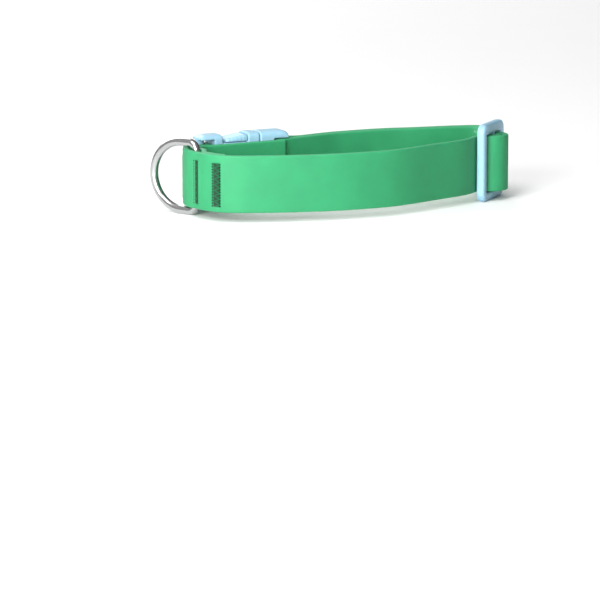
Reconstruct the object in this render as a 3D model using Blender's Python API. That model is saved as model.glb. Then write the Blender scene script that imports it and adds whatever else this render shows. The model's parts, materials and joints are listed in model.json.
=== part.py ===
"""Small dog collar of smooth coated strap, lying closed on its side.

One strap runs from a side release buckle, over a D-ring and round the neck, through a three bar slider and back.
The slider carries the strap's sewn end. The collar rests on the lower edges of the buckle, slider and D-ring.

Frame: +Z up, metres. The collar lies on z = 0, its neck opening looks up and its front strap faces -Y.
"""
import math

import bmesh
import bpy
from mathutils import Matrix, Vector

MM = 0.001

# Strap, which the ring's wire holds off the ground
RING_WIRE = 2.8 * MM
RING_PLAY = 0.5 * MM
STRAP_WIDTH = 19.0 * MM
STRAP_THICK = 2.0 * MM
STRAP_EDGE_ROUND = 0.5 * MM
STRAP_LIFT = RING_WIRE + RING_PLAY
LAYER_GAP = 0.3 * MM

# Loop of the strap, seen from above
LOOP_HALF_WIDTH = 50.0 * MM
LOOP_HALF_DEPTH = 35.0 * MM
TURN_RADIUS = 7.2 * MM
TURN_END_HEADING = 188.0

# D-ring of round wire, whose bow passes over both edges of the strap
RING_HEIGHT = STRAP_WIDTH + 2 * (RING_WIRE + RING_PLAY)
RING_REACH = 18.1 * MM
RING_SHOULDER = 6.2 * MM
RING_CORNER = 2.8 * MM
RING_HEADING = 143.0
RING_BAR_DEPTH = 2.2 * MM
RING_POCKET_REACH = 7.0 * MM
RING_BOW_POINTS = 20
WIRE_SIDES = 12

# Slider with two outer bars and one centre bar. It stands on the ground and reaches above the strap
SLIDER_ABOVE_STRAP = 4.0 * MM
SLIDER_HEIGHT = STRAP_LIFT + STRAP_WIDTH + SLIDER_ABOVE_STRAP
SLIDER_LENGTH = 20.0 * MM
SLIDER_THICK = 3.0 * MM
SLIDER_BAR = 3.2 * MM
SLIDER_ROUND = 0.9 * MM
SLIDER_CORNER = 3.0 * MM
SLIDER_CORNER_POINTS = 6

# Side release buckle. It stands on the ground and reaches above the strap
BUCKLE_ABOVE_STRAP = 2.8 * MM
BUCKLE_HEIGHT = STRAP_LIFT + STRAP_WIDTH + BUCKLE_ABOVE_STRAP
BUCKLE_LENGTH = 33.5 * MM
BUCKLE_THICK = 8.0 * MM
BUCKLE_BOW = 0.8 * MM
BUCKLE_CORNER = 2.4 * MM
BUCKLE_ROUND = 1.6 * MM
BUCKLE_ROUND_POINTS = 4
BUCKLE_END_STEPS = (0.0, 0.125, 0.35, 0.65, 1.0)
BUCKLE_END_INSET = 0.7 * MM
BUCKLE_END_DROP = 0.8
BUCKLE_LOFT_STEP = 5.0 * MM
SOCKET_LENGTH = 22.5 * MM
SOCKET_WALL = 2.3 * MM
SOCKET_DEPTH_WALL = 1.9 * MM
SOCKET_WINDOW_ROOM = 1.0 * MM
TAB_LENGTH = 8.6 * MM
TAB_START = 4.2 * MM
TAB_TIP_ROOM = 1.2 * MM
TAB_SLOPE = 1.2 * MM
TAB_NOTCH = 3.0 * MM
TAB_SINK = 0.3 * MM
TAB_INSET = 0.4 * MM
TAB_BEVEL = 0.8 * MM
HOLLOW_BOW_ROOM = 0.4 * MM
PRONG_WIDTH = 2.3 * MM
PRONG_ROOT = 2.0 * MM
GUIDE_WIDTH = 3.2 * MM
PLUG_TIP_ROOM = 1.8 * MM

# Bars that the strap folds round, and clearances
BAR_DIAMETER = 3.0 * MM
BAR_SIDES = 12
BAR_ROOT_LOW = 1.0 * MM
BAR_ROOT_HIGH = 0.8 * MM
FIT_GAP = 0.3 * MM
SLOT_PLAY = 0.3 * MM
CUT_OVERRUN = 2.0 * MM

# Sewn layers
FOLD_RUN = 9.0 * MM
INNER_LAYER_END = 33.0 * MM
GUARD_START = 9.5 * MM
GUARD_PLACES = (0.7, 0.3, 0.0, -0.35, -0.67, -0.9)
TAIL_END = 8.6 * MM
TAIL_RUN = 10.0 * MM

# Stations of the outer strap layer from the buckle's female bar round to its male bar.
# x and y are shares of the loop's half width and half depth, heading is in degrees, 0 along +X and 90 along +Y.
FEMALE_BAR = {"x": -0.870, "y": -0.214, "heading": 208.2}
LEFT_STATIONS = [
    {"name": "left_turn", "x": -0.958, "y": -0.429, "heading": 268.0},
    {"name": "ring", "x": -0.924, "y": -0.614, "heading": 291.0},
    {"name": "second_tack", "x": -0.866, "y": -0.760, "heading": 303.0},
    {"name": "third_tack", "x": -0.735, "y": -0.948, "heading": 332.0},
    {"name": "front_left", "x": -0.540, "y": -1.000, "heading": 2.0},
    {"name": "front_middle", "x": -0.070, "y": -0.905, "heading": 13.0},
    {"name": "front_right", "x": 0.325, "y": -0.690, "heading": 27.0},
    {"name": "right_bend", "x": 0.670, "y": -0.270, "heading": 47.0},
]
SLIDER_STATION = {"x": 1.038, "y": 0.483, "heading": 68.0}
BACK_STATIONS = [
    {"name": "back_right", "x": 0.480, "y": 0.850, "heading": 191.0},
    {"name": "back_middle", "x": 0.060, "y": 0.600, "heading": 208.0},
]

# How finely the strap's line is drawn, and how much of that its body keeps
STEP = 0.25 * MM
BEND_STEP = math.radians(9.0)
SHORTEST_STEP = 0.3 * MM
LONGEST_STEP = 5.0 * MM
TURN_STEP_DEGREES = 3.0
ARC_STEP_DEGREES = 8.0
SMALL = 1e-7

STRAP_COLOUR = (0.08, 0.60, 0.26)
PLASTIC_COLOUR = (0.42, 0.72, 0.90)
STEEL_COLOUR = (0.62, 0.62, 0.63)


def heading_vector(degrees):
    """Unit vector in plan at a heading."""
    angle = math.radians(degrees)
    return Vector((math.cos(angle), math.sin(angle)))


def right_of(direction):
    """Unit vector to the right of a direction, which is the outer side of the loop."""
    return Vector((direction.y, -direction.x))


def smooth(share):
    """Ease from 0 to 1."""
    share = min(max(share, 0.0), 1.0)
    return share * share * (3.0 - 2.0 * share)


def bump(distance, reach):
    """Smooth hump of height 1 that ends at reach on both sides."""
    return math.cos(0.5 * math.pi * distance / reach) ** 2 if abs(distance) < reach else 0.0


def station_point(row):
    """Plan position of a table row."""
    return Vector((row["x"] * LOOP_HALF_WIDTH, row["y"] * LOOP_HALF_DEPTH))


def hermite(start, end, start_heading, end_heading):
    """Points of a smooth curve between two stations, without its first point."""
    chord = (end - start).length
    leave = heading_vector(start_heading) * chord
    arrive = heading_vector(end_heading) * chord
    count = max(4, int(chord / STEP))
    points = []
    for index in range(1, count + 1):
        t = index / count
        points.append(
            start * (2 * t**3 - 3 * t**2 + 1)
            + leave * (t**3 - 2 * t**2 + t)
            + end * (3 * t**2 - 2 * t**3)
            + arrive * (t**3 - t**2)
        )
    return points


class Frame2D:
    """Straight local frame of one rigid piece: u along the strap, n outwards."""

    def __init__(self, origin, heading):
        self.origin = origin
        self.u = heading_vector(heading)
        self.n = right_of(self.u)

    def at(self, along, out):
        return self.origin + self.u * along + self.n * out


class LoopLine:
    """The middle of the outer strap layer in plan, measured by its length from the female bar."""

    def __init__(self):
        self.points = [station_point(FEMALE_BAR)]
        heading = FEMALE_BAR["heading"]
        self.marks = {}
        for row in LEFT_STATIONS:
            heading = self.reach(station_point(row), heading, row["heading"], row["name"])
        slider = Frame2D(station_point(SLIDER_STATION), SLIDER_STATION["heading"])
        half = SLIDER_LENGTH / 2
        heading = self.reach(slider.at(-half, 0), heading, SLIDER_STATION["heading"], "slider_in")
        self.reach(slider.at(half, 0), heading, heading, "slider_out")
        heading = self.turn(heading)
        for row in BACK_STATIONS:
            heading = self.reach(station_point(row), heading, row["heading"], row["name"])
        self.reach(buckle_frame().at(-bar_offset(), 0), heading, FEMALE_BAR["heading"], "male_bar")
        self.lengths = [0.0]
        for before, after in zip(self.points, self.points[1:]):
            self.lengths.append(self.lengths[-1] + (after - before).length)
        self.marks = {name: self.lengths[index] for name, index in self.marks.items()}
        self.total = self.lengths[-1]

    def reach(self, point, heading, end_heading, name):
        """Adds a smooth stretch to a station and marks it."""
        self.points += hermite(self.points[-1], point, heading, end_heading)
        self.marks[name] = len(self.points) - 1
        return end_heading

    def turn(self, heading):
        """Adds the tight round turn behind the slider."""
        start = self.points[-1]
        centre = start - right_of(heading_vector(heading)) * TURN_RADIUS
        sweep = TURN_END_HEADING - heading
        count = int(sweep / TURN_STEP_DEGREES)
        for index in range(1, count + 1):
            direction = heading_vector(heading + sweep * index / count)
            self.points.append(centre + right_of(direction) * TURN_RADIUS)
        self.marks["turn_end"] = len(self.points) - 1
        return TURN_END_HEADING

    def at(self, length, out):
        """Plan point at a length along the line, moved outwards by out."""
        low, high = 0, len(self.lengths) - 1
        while high - low > 1:
            middle = (low + high) // 2
            if self.lengths[middle] <= length:
                low = middle
            else:
                high = middle
        share = (length - self.lengths[low]) / (self.lengths[high] - self.lengths[low])
        here = self.points[low].lerp(self.points[high], share)
        before = self.points[max(low - 1, 0)]
        after = self.points[min(high + 1, len(self.points) - 1)]
        return here + right_of((after - before).normalized()) * out


def bar_offset():
    """Distance of each end bar's axis from the buckle's middle."""
    return BUCKLE_LENGTH / 2 - BAR_DIAMETER / 2


def buckle_frame():
    """Buckle frame with u from the male bar to the female bar, as the strap's line runs."""
    heading = FEMALE_BAR["heading"]
    return Frame2D(station_point(FEMALE_BAR) - heading_vector(heading) * bar_offset(), heading)


def slider_frame():
    return Frame2D(station_point(SLIDER_STATION), SLIDER_STATION["heading"])


def fold_radius():
    """Radius of the strap's middle layer where it folds round an end bar or the centre bar."""
    return BAR_DIAMETER / 2 + FIT_GAP + STRAP_THICK / 2


def layer_step():
    """Distance between the middles of two strap layers that lie on each other."""
    return STRAP_THICK + LAYER_GAP


def slider_middle():
    """Distance outwards of the slider plate's middle from the strap's line."""
    return STRAP_THICK / 2 + FIT_GAP + SLIDER_THICK / 2


def ring_bar_out():
    return -RING_BAR_DEPTH


def pocket_spread():
    """Distance of a pocket layer's middle from the ring bar's axis."""
    return RING_WIRE / 2 + FIT_GAP + STRAP_THICK / 2


def arc(centre, radius, start, end):
    """Local points along a circle from one angle to another, in degrees."""
    count = max(2, int(abs(end - start) / ARC_STEP_DEGREES))
    return [
        centre + heading_vector(start + (end - start) * index / count) * radius for index in range(count + 1)
    ]


def bar_corner():
    """Centre of the rounded inner edge of an outer slider bar, on the slider's far side."""
    inner_face = SLIDER_LENGTH / 2 - SLIDER_BAR
    return Vector((inner_face + SLIDER_ROUND, STRAP_THICK / 2 + FIT_GAP + SLIDER_ROUND))


def hump_side(radius, corner_radius):
    """Local points from the top of the centre bar down past the far bar, as arc, straight and arc."""
    top = Vector((0.0, slider_middle()))
    corner = bar_corner()
    apart = corner - top
    slant = math.degrees(math.asin(min((radius + corner_radius) / apart.length, 1.0)))
    lean = math.degrees(math.atan2(apart.y, apart.x))
    leave = 90.0 - slant + lean
    return arc(top, radius, 90.0, leave) + arc(corner, corner_radius, leave + 180.0, 270.0)


def running_hump():
    """Local points of the strap that runs under, over and under the slider's bars."""
    side = hump_side(fold_radius() + layer_step(), SLIDER_ROUND + FIT_GAP + STRAP_THICK / 2)
    mirrored = [Vector((-point.x, point.y)) for point in reversed(side)]
    return mirrored + side[1:]


def sewn_loop():
    """Local points of the sewn end round the centre bar, from the inner layer on the far side to the tail."""
    top = Vector((0.0, slider_middle()))
    corner = bar_corner()
    reach = SLIDER_ROUND + FIT_GAP + STRAP_THICK / 2 + layer_step()
    inner_reach = reach + layer_step()
    lean = math.degrees(math.asin((inner_reach - fold_radius()) / (corner - top).length))
    inner = arc(corner, inner_reach, 270.0, 270.0 - lean)
    around = arc(top, fold_radius(), 270.0 - lean, 90.0)
    tail = hump_side(fold_radius(), reach)
    return inner + around[:-1] + tail


def on_line(line, start, end, out):
    """Plan points along the loop line from one length to another, moved out by a function of the length."""
    count = max(2, int(abs(end - start) / STEP / 2))
    points = []
    for index in range(count + 1):
        length = start + (end - start) * index / count
        points.append(line.at(length, out(length)))
    return points


def outer_layer_out(line):
    """How far outwards the outer layer lies at each length, slider apart."""
    ring = line.marks["ring"]

    def out(length):
        fold = fold_radius() * (1 - smooth(length / FOLD_RUN))
        fold += fold_radius() * (1 - smooth((line.total - length) / FOLD_RUN))
        pocket = (ring_bar_out() + pocket_spread()) * bump(length - ring, RING_POCKET_REACH)
        return fold + pocket

    return out


def inner_layer_out(line):
    """How far outwards the folded inner layer lies beside the ring and along the back."""
    ring = line.marks["ring"]
    slider_end = line.marks["slider_out"]

    def out(length):
        lie = -layer_step()
        female = (fold_radius() - layer_step()) * (1 - smooth(length / FOLD_RUN))
        male = (fold_radius() - layer_step()) * (1 - smooth((line.total - length) / FOLD_RUN))
        pocket = (ring_bar_out() - pocket_spread() + layer_step()) * bump(length - ring, RING_POCKET_REACH)
        tail = layer_step() * (1 - smooth((length - slider_end) / TAIL_RUN)) if length >= slider_end else 0.0
        return lie - female - male + pocket - tail

    return out


def strap_path(line):
    """Plan points of the whole strap's middle, from the sewn inner end at the ring to the tail at the slider."""
    outer = outer_layer_out(line)
    inner = inner_layer_out(line)
    slider = slider_frame()
    buckle = buckle_frame()
    radius = fold_radius()
    path = on_line(line, INNER_LAYER_END, 0.0, inner)
    female_bar = Frame2D(buckle.at(bar_offset(), 0), FEMALE_BAR["heading"])
    path += [female_bar.at(-point.x, point.y) for point in arc(Vector((0, 0)), radius, -90.0, 90.0)][1:-1]
    path += on_line(line, 0.0, line.marks["slider_in"], outer)
    path += [slider.at(point.x, point.y) for point in running_hump()]
    path += on_line(line, line.marks["slider_out"], line.total, outer)
    male_bar = Frame2D(buckle.at(-bar_offset(), 0), FEMALE_BAR["heading"])
    path += [male_bar.at(point.x, point.y) for point in arc(Vector((0, 0)), radius, 90.0, -90.0)][1:-1]
    path += on_line(line, line.total, line.marks["slider_out"], inner)
    loop = [point for point in sewn_loop() if point.x <= TAIL_END]
    path += [slider.at(point.x, point.y) for point in loop]
    path.append(slider.at(TAIL_END, -layer_step()))
    return path


def beside(path, distance):
    """Plan points of a line that keeps a distance to the right of a path."""
    moved = []
    for index, point in enumerate(path):
        before = path[max(index - 1, 0)]
        after = path[min(index + 1, len(path) - 1)]
        moved.append(point + right_of((after - before).normalized()) * distance)
    return moved


def guard_path(line):
    """Plan points of the guard strip that lies inside the buckle, held by the tack next to it."""
    buckle = buckle_frame()
    inner = inner_layer_out(line)
    face = BUCKLE_THICK / 2 + FIT_GAP + STRAP_THICK / 2
    on_strap = beside(on_line(line, GUARD_START, 0.0, inner), layer_step())
    return on_strap + [buckle.at(bar_offset() * share, -face) for share in GUARD_PLACES]


def bow_at(along):
    """Outward bow of the buckle's middle line."""
    share = 2 * along / BUCKLE_LENGTH
    return BUCKLE_BOW * (1 - share * share)


def thin(points):
    """Keeps the points that the path's bends need."""
    kept = [points[0]]
    turned = 0.0
    for before, here, after in zip(points, points[1:], points[2:]):
        arriving = here - before
        leaving = after - here
        if arriving.length < SMALL or leaving.length < SMALL:
            continue
        turned += abs(arriving.angle(leaving))
        step = (here - kept[-1]).length
        if step >= LONGEST_STEP or (turned >= BEND_STEP and step > SHORTEST_STEP):
            kept.append(here)
            turned = 0.0
    kept.append(points[-1])
    return kept


def material(name, colour, roughness, metallic=0.0):
    """Principled material, made once for each name."""
    made = bpy.data.materials.get(name)
    if made is None:
        made = bpy.data.materials.new(name)
        made.use_nodes = True
        shader = made.node_tree.nodes["Principled BSDF"]
        shader.inputs["Base Color"].default_value = (*colour, 1.0)
        shader.inputs["Roughness"].default_value = roughness
        shader.inputs["Metallic"].default_value = metallic
        made.diffuse_color = (*colour, 1.0)
    return made


def add_object(name, shape, finish, parent=None):
    """Makes one named object from a bmesh, with outward faces."""
    bmesh.ops.recalc_face_normals(shape, faces=shape.faces)
    mesh = bpy.data.meshes.new(name)
    shape.to_mesh(mesh)
    shape.free()
    mesh.shade_smooth()
    mesh.set_sharp_from_angle(angle=math.radians(35))
    mesh.materials.append(finish)
    made = bpy.data.objects.new(name, mesh)
    bpy.context.scene.collection.objects.link(made)
    made.parent = parent
    return made


def bridge_rings(shape, rings, closed=False):
    """Joins equal rings of vertices by quads, with flat ends unless the rings close on themselves."""
    pairs = list(zip(rings, rings[1:]))
    if closed:
        pairs.append((rings[-1], rings[0]))
    for ring, following in pairs:
        for index in range(len(ring)):
            after = (index + 1) % len(ring)
            shape.faces.new((ring[index], ring[after], following[after], following[index]))
    if not closed:
        shape.faces.new(rings[0])
        shape.faces.new(list(reversed(rings[-1])))


def ribbon(path):
    """Closed body of a strap that follows a plan path, with its four long edges taken off."""
    half = STRAP_THICK / 2
    low = STRAP_LIFT
    high = STRAP_LIFT + STRAP_WIDTH
    edge = STRAP_EDGE_ROUND
    section = [
        (half, low + edge), (half, high - edge), (half - edge, high), (edge - half, high),
        (-half, high - edge), (-half, low + edge), (edge - half, low), (half - edge, low),
    ]
    shape = bmesh.new()
    rings = []
    for index, point in enumerate(path):
        before = path[max(index - 1, 0)]
        after = path[min(index + 1, len(path) - 1)]
        out = right_of((after - before).normalized())
        if 0 < index < len(path) - 1:
            bend = (point - before).angle(after - point)
            out = out / math.cos(bend / 2)
        rings.append([shape.verts.new((*(point + out * offset), height)) for offset, height in section])
    bridge_rings(shape, rings)
    return shape


def ring_outline():
    """Middle line of the D-ring: reach from the bar's axis and height from the middle."""
    tall = RING_HEIGHT / 2 - RING_WIRE / 2
    corner = RING_CORNER
    points = [Vector((0.0, corner - tall)), Vector((0.0, tall - corner))]
    points += arc(Vector((corner, tall - corner)), corner, 180.0, 90.0)[1:]
    for index in range(RING_BOW_POINTS + 1):
        angle = math.pi / 2 - math.pi * index / RING_BOW_POINTS
        reach = RING_SHOULDER + (RING_REACH - RING_SHOULDER) * math.cos(angle)
        points.append(Vector((reach, tall * math.sin(angle))))
    points += arc(Vector((corner, corner - tall)), corner, 270.0, 180.0)[:-1]
    return points


def build_ring(line, steel):
    """D-ring whose straight bar sits in the strap's pocket; its empty stands on the bar's axis."""
    bar = line.at(line.marks["ring"], ring_bar_out())
    pivot = bpy.data.objects.new("ring_pivot", None)
    pivot.location = (bar.x, bar.y, RING_HEIGHT / 2)
    pivot.rotation_euler = (0.0, 0.0, math.radians(RING_HEADING))
    bpy.context.scene.collection.objects.link(pivot)
    shape = bmesh.new()
    outline = ring_outline()
    rings = []
    for index, point in enumerate(outline):
        before = outline[index - 1]
        after = outline[(index + 1) % len(outline)]
        out = right_of((after - before).normalized())
        ring = []
        for side in range(WIRE_SIDES):
            angle = math.tau * (side + 0.5) / WIRE_SIDES
            radius = RING_WIRE / 2 / math.cos(math.pi / WIRE_SIDES)
            reach = point + out * radius * math.cos(angle)
            ring.append(shape.verts.new((reach.x, radius * math.sin(angle), reach.y)))
        rings.append(ring)
    bridge_rings(shape, rings, closed=True)
    return add_object("d_ring", shape, steel, pivot)


def box(shape, low, high):
    """Adds a box between two corners to a bmesh."""
    size = [b - a for a, b in zip(low, high)]
    middle = [(a + b) / 2 for a, b in zip(low, high)]
    matrix = Matrix.Translation(middle) @ Matrix.Diagonal((*size, 1.0))
    bmesh.ops.create_cube(shape, size=1.0, matrix=matrix)


def upright_bar(shape, along, out, room=0.0):
    """Adds a round bar across the strap's slot to a bmesh, its ends rooted in the frame round the slot.

    room is how much taller the opening is than the slot, above and below.
    """
    low = slot_low() - room - BAR_ROOT_LOW
    high = slot_high() + room + BAR_ROOT_HIGH
    matrix = Matrix.Translation((along, out, (low + high) / 2))
    bmesh.ops.create_cone(
        shape, cap_ends=True, segments=BAR_SIDES, radius1=BAR_DIAMETER / 2, radius2=BAR_DIAMETER / 2,
        depth=high - low, matrix=matrix,
    )


def cutter(name, shape, parent):
    """Hidden guide body for a Boolean."""
    bmesh.ops.recalc_face_normals(shape, faces=shape.faces)
    mesh = bpy.data.meshes.new(name)
    shape.to_mesh(mesh)
    shape.free()
    made = bpy.data.objects.new(name, mesh)
    made.hide_render = True
    made.display_type = "WIRE"
    made.parent = parent
    bpy.context.scene.collection.objects.link(made)
    return made


def boolean(target, tool, operation):
    """Adds an exact Boolean to an object."""
    step = target.modifiers.new(operation.lower() + "_" + tool.name, "BOOLEAN")
    step.operation = operation
    step.object = tool
    step.solver = "EXACT"


def placed_empty(name, frame):
    """Empty at a rigid piece's frame: local x along the strap, local y inwards, so local -y is outwards."""
    made = bpy.data.objects.new(name, None)
    made.location = (frame.origin.x, frame.origin.y, 0.0)
    made.rotation_euler = (0.0, 0.0, math.atan2(frame.u.y, frame.u.x))
    bpy.context.scene.collection.objects.link(made)
    return made


def slot_low():
    """Lower edge of the strap's slot in the buckle and slider."""
    return STRAP_LIFT - SLOT_PLAY


def slot_high():
    return STRAP_LIFT + STRAP_WIDTH + SLOT_PLAY


def build_slider(plastic):
    """Three bar slider: a rounded frame round one opening, with a round centre bar across it."""
    place = placed_empty("slider_place", slider_frame())
    half = SLIDER_LENGTH / 2
    near = -(slider_middle() + SLIDER_THICK / 2)
    far = -(slider_middle() - SLIDER_THICK / 2)
    corners = SLIDER_CORNER_POINTS
    shape = bmesh.new()
    outline = []
    for centre_x, centre_z, start in (
        (half - SLIDER_CORNER, SLIDER_HEIGHT - SLIDER_CORNER, 0.0),
        (SLIDER_CORNER - half, SLIDER_HEIGHT - SLIDER_CORNER, 90.0),
        (SLIDER_CORNER - half, SLIDER_CORNER, 180.0),
        (half - SLIDER_CORNER, SLIDER_CORNER, 270.0),
    ):
        for index in range(corners):
            angle = start + 90.0 * index / (corners - 1)
            outline.append(Vector((centre_x, centre_z)) + heading_vector(angle) * SLIDER_CORNER)
    inner = half - SLIDER_BAR
    opening = [(inner, slot_high()), (-inner, slot_high()), (-inner, slot_low()), (inner, slot_low())]
    outer_front = [shape.verts.new((p.x, near, p.y)) for p in outline]
    outer_back = [shape.verts.new((p.x, far, p.y)) for p in outline]
    inner_front = [shape.verts.new((x, near, z)) for x, z in opening]
    inner_back = [shape.verts.new((x, far, z)) for x, z in opening]
    for outer, hole in ((outer_front, inner_front), (outer_back, inner_back)):
        for side in range(4):
            following = (side + 1) % 4
            fan = outer[side * corners:(side + 1) * corners]
            for first, second in zip(fan, fan[1:]):
                shape.faces.new((first, second, hole[side]))
            shape.faces.new((fan[-1], outer[following * corners], hole[following], hole[side]))
    for front, back in ((outer_front, outer_back), (inner_front, inner_back)):
        for index in range(len(front)):
            after = (index + 1) % len(front)
            shape.faces.new((front[index], front[after], back[after], back[index]))
    bmesh.ops.recalc_face_normals(shape, faces=shape.faces)
    rim = [
        edge for edge in shape.edges
        if len(edge.link_faces) == 2 and edge.calc_face_angle() > math.radians(50)
        and abs(edge.verts[0].co.y - edge.verts[1].co.y) < SMALL
    ]
    bmesh.ops.bevel(shape, geom=rim, offset=SLIDER_ROUND, segments=3, profile=0.5, affect="EDGES")
    slider = add_object("slider", shape, plastic, place)
    bar = bmesh.new()
    upright_bar(bar, 0.0, -slider_middle())
    boolean(slider, cutter("slider_centre_bar", bar, place), "UNION")
    return slider


def buckle_section(along, inset=0.0):
    """Rounded cross section of the buckle at a place along it: out and height pairs."""
    to_end = BUCKLE_LENGTH / 2 - abs(along)
    drop = 0.0
    if to_end < BUCKLE_CORNER:
        drop = BUCKLE_CORNER - math.sqrt(max(BUCKLE_CORNER**2 - (BUCKLE_CORNER - to_end) ** 2, 0.0))
    half_out = BUCKLE_THICK / 2 - inset
    low = drop * BUCKLE_END_DROP + inset
    high = BUCKLE_HEIGHT - low
    centre = bow_at(along)
    corner = BUCKLE_ROUND
    points = []
    for out, height, start in (
        (half_out - corner, high - corner, 0.0), (corner - half_out, high - corner, 90.0),
        (corner - half_out, low + corner, 180.0), (half_out - corner, low + corner, 270.0),
    ):
        for index in range(BUCKLE_ROUND_POINTS):
            turn = heading_vector(start + 90.0 * index / (BUCKLE_ROUND_POINTS - 1)) * corner
            points.append(Vector((out + centre + turn.x, height + turn.y)))
    return points


def buckle_body(places):
    """Lofted body of one buckle half along the places given, rounded over at the first and blunt at the last."""
    shape = bmesh.new()
    rings = []
    for index, place in enumerate(places):
        section = buckle_section(place, 0.0 if index else BUCKLE_END_INSET)
        rings.append([shape.verts.new((place, -point.x, point.y)) for point in section])
    bridge_rings(shape, rings)
    return shape


def loft_places(end, mating):
    """Section places from a buckle half's free end to its mating face."""
    way = 1.0 if mating > end else -1.0
    places = [end + way * step * BUCKLE_CORNER for step in BUCKLE_END_STEPS]
    span = abs(mating - places[-1])
    count = max(2, int(span / BUCKLE_LOFT_STEP))
    places += [places[-1] + way * span * index / count for index in range(1, count + 1)]
    return places


def window_edge():
    """Distance of the strap window's inner edge from the buckle's middle."""
    return bar_offset() - BAR_DIAMETER / 2 - FIT_GAP * 2 - STRAP_THICK


def end_window(sign, room=0.0):
    """Cutter for the strap's window at one end of the buckle; sign is +1 at the female end, room makes it taller."""
    shape = bmesh.new()
    low, high = sorted((sign * window_edge(), sign * (BUCKLE_LENGTH / 2 + CUT_OVERRUN)))
    box(shape, (low, -BUCKLE_THICK, slot_low() - room), (high, BUCKLE_THICK, slot_high() + room))
    return shape


def socket_mouth():
    """Place of the female half's mating face along the buckle."""
    return BUCKLE_LENGTH / 2 - SOCKET_LENGTH


def hollow_out():
    """Outward limits of the socket's hollow, inner side and outer side."""
    half = BUCKLE_THICK / 2
    return BUCKLE_BOW - half + SOCKET_DEPTH_WALL - HOLLOW_BOW_ROOM, half - SOCKET_DEPTH_WALL


def tab_span():
    """Limits along the buckle of the release tabs, clearances included."""
    start = socket_mouth() + TAB_START
    return start, start + TAB_LENGTH


def build_female(place, plastic):
    """Socket half: a shell with a strap window, an end bar, a hollow and two side openings for the tabs."""
    end = BUCKLE_LENGTH / 2
    mouth = socket_mouth()
    female = add_object("buckle_socket", buckle_body(loft_places(end, mouth)), plastic, place)
    boolean(female, cutter("socket_strap_window", end_window(1.0, SOCKET_WINDOW_ROOM), place), "DIFFERENCE")
    inner, outer = hollow_out()
    shape = bmesh.new()
    deep = window_edge() - SOCKET_WALL
    box(shape, (mouth - CUT_OVERRUN, -outer, SOCKET_WALL), (deep, -inner, BUCKLE_HEIGHT - SOCKET_WALL))
    boolean(female, cutter("socket_hollow", shape, place), "DIFFERENCE")
    start, finish = tab_span()
    finish += TAB_TIP_ROOM
    sides = bmesh.new()
    above = BUCKLE_HEIGHT + CUT_OVERRUN
    box(sides, (start, -BUCKLE_THICK, -CUT_OVERRUN), (finish, BUCKLE_THICK, TAB_NOTCH))
    box(sides, (start, -BUCKLE_THICK, BUCKLE_HEIGHT - TAB_NOTCH), (finish, BUCKLE_THICK, above))
    boolean(female, cutter("socket_side_openings", sides, place), "DIFFERENCE")
    bar = bmesh.new()
    upright_bar(bar, bar_offset(), 0.0, SOCKET_WINDOW_ROOM)
    boolean(female, cutter("socket_end_bar", bar, place), "UNION")
    return female


def build_male(place, plastic):
    """Plug half: a base with a strap window and end bar, two sprung prongs with tabs, and a middle guide."""
    end = -BUCKLE_LENGTH / 2
    face = socket_mouth() - FIT_GAP
    male = add_object("buckle_plug", buckle_body(loft_places(end, face)), plastic, place)
    boolean(male, cutter("plug_strap_window", end_window(-1.0), place), "DIFFERENCE")
    bar = bmesh.new()
    upright_bar(bar, -bar_offset(), 0.0)
    boolean(male, cutter("plug_end_bar", bar, place), "UNION")
    inner, outer = hollow_out()
    inner += FIT_GAP
    outer -= FIT_GAP
    root = face - PRONG_ROOT
    start, finish = tab_span()
    start += FIT_GAP
    finish -= FIT_GAP
    middle = BUCKLE_HEIGHT / 2
    low = SOCKET_WALL + FIT_GAP
    guide_end = window_edge() - SOCKET_WALL - PLUG_TIP_ROOM
    guide = bmesh.new()
    box(guide, (root, -outer, middle - GUIDE_WIDTH / 2), (guide_end, -inner, middle + GUIDE_WIDTH / 2))
    boolean(male, cutter("plug_guide", guide, place), "UNION")
    tab_out = BUCKLE_THICK / 2 - TAB_SINK
    for name, mirror in (("lower", False), ("upper", True)):
        prong = bmesh.new()
        box(prong, (root, -outer, low), (finish, -inner, low + PRONG_WIDTH))
        flip_height(prong, mirror)
        boolean(male, cutter("plug_prong_" + name, prong, place), "UNION")
        tab = bmesh.new()
        top = TAB_NOTCH - FIT_GAP
        box(tab, (start, -tab_out - BUCKLE_BOW * 0.5, TAB_INSET), (finish, tab_out - BUCKLE_BOW, top))
        bmesh.ops.bevel(
            tab, geom=[edge for edge in tab.edges if max(v.co.z for v in edge.verts) < MM],
            offset=TAB_BEVEL, segments=2, profile=0.5, affect="EDGES",
        )
        for vertex in tab.verts:
            if vertex.co.z < TAB_NOTCH / 2:
                vertex.co.z += TAB_SLOPE * (vertex.co.x - start) / (finish - start)
        flip_height(tab, mirror)
        boolean(male, cutter("plug_tab_" + name, tab, place), "UNION")
    return male


def flip_height(shape, flip):
    """Mirrors a bmesh about the buckle's middle height when asked."""
    if flip:
        for vertex in shape.verts:
            vertex.co.z = BUCKLE_HEIGHT - vertex.co.z
        bmesh.ops.reverse_faces(shape, faces=shape.faces)


def centre_on_origin():
    """Hangs everything from one empty, so that the middle of the collar's box stands over the origin."""
    bpy.context.view_layer.update()
    depsgraph = bpy.context.evaluated_depsgraph_get()
    corners = []
    for piece in bpy.data.objects:
        if piece.type == "MESH" and not piece.hide_render:
            seen = piece.evaluated_get(depsgraph)
            corners += [seen.matrix_world @ vertex.co for vertex in seen.data.vertices]
    middle = [0.5 * (min(c[axis] for c in corners) + max(c[axis] for c in corners)) for axis in (0, 1)]
    origin = bpy.data.objects.new("collar_origin", None)
    origin.location = (-middle[0], -middle[1], 0.0)
    bpy.context.scene.collection.objects.link(origin)
    for piece in list(bpy.data.objects):
        if piece.parent is None and piece is not origin:
            piece.parent = origin
    bpy.context.view_layer.update()


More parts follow.
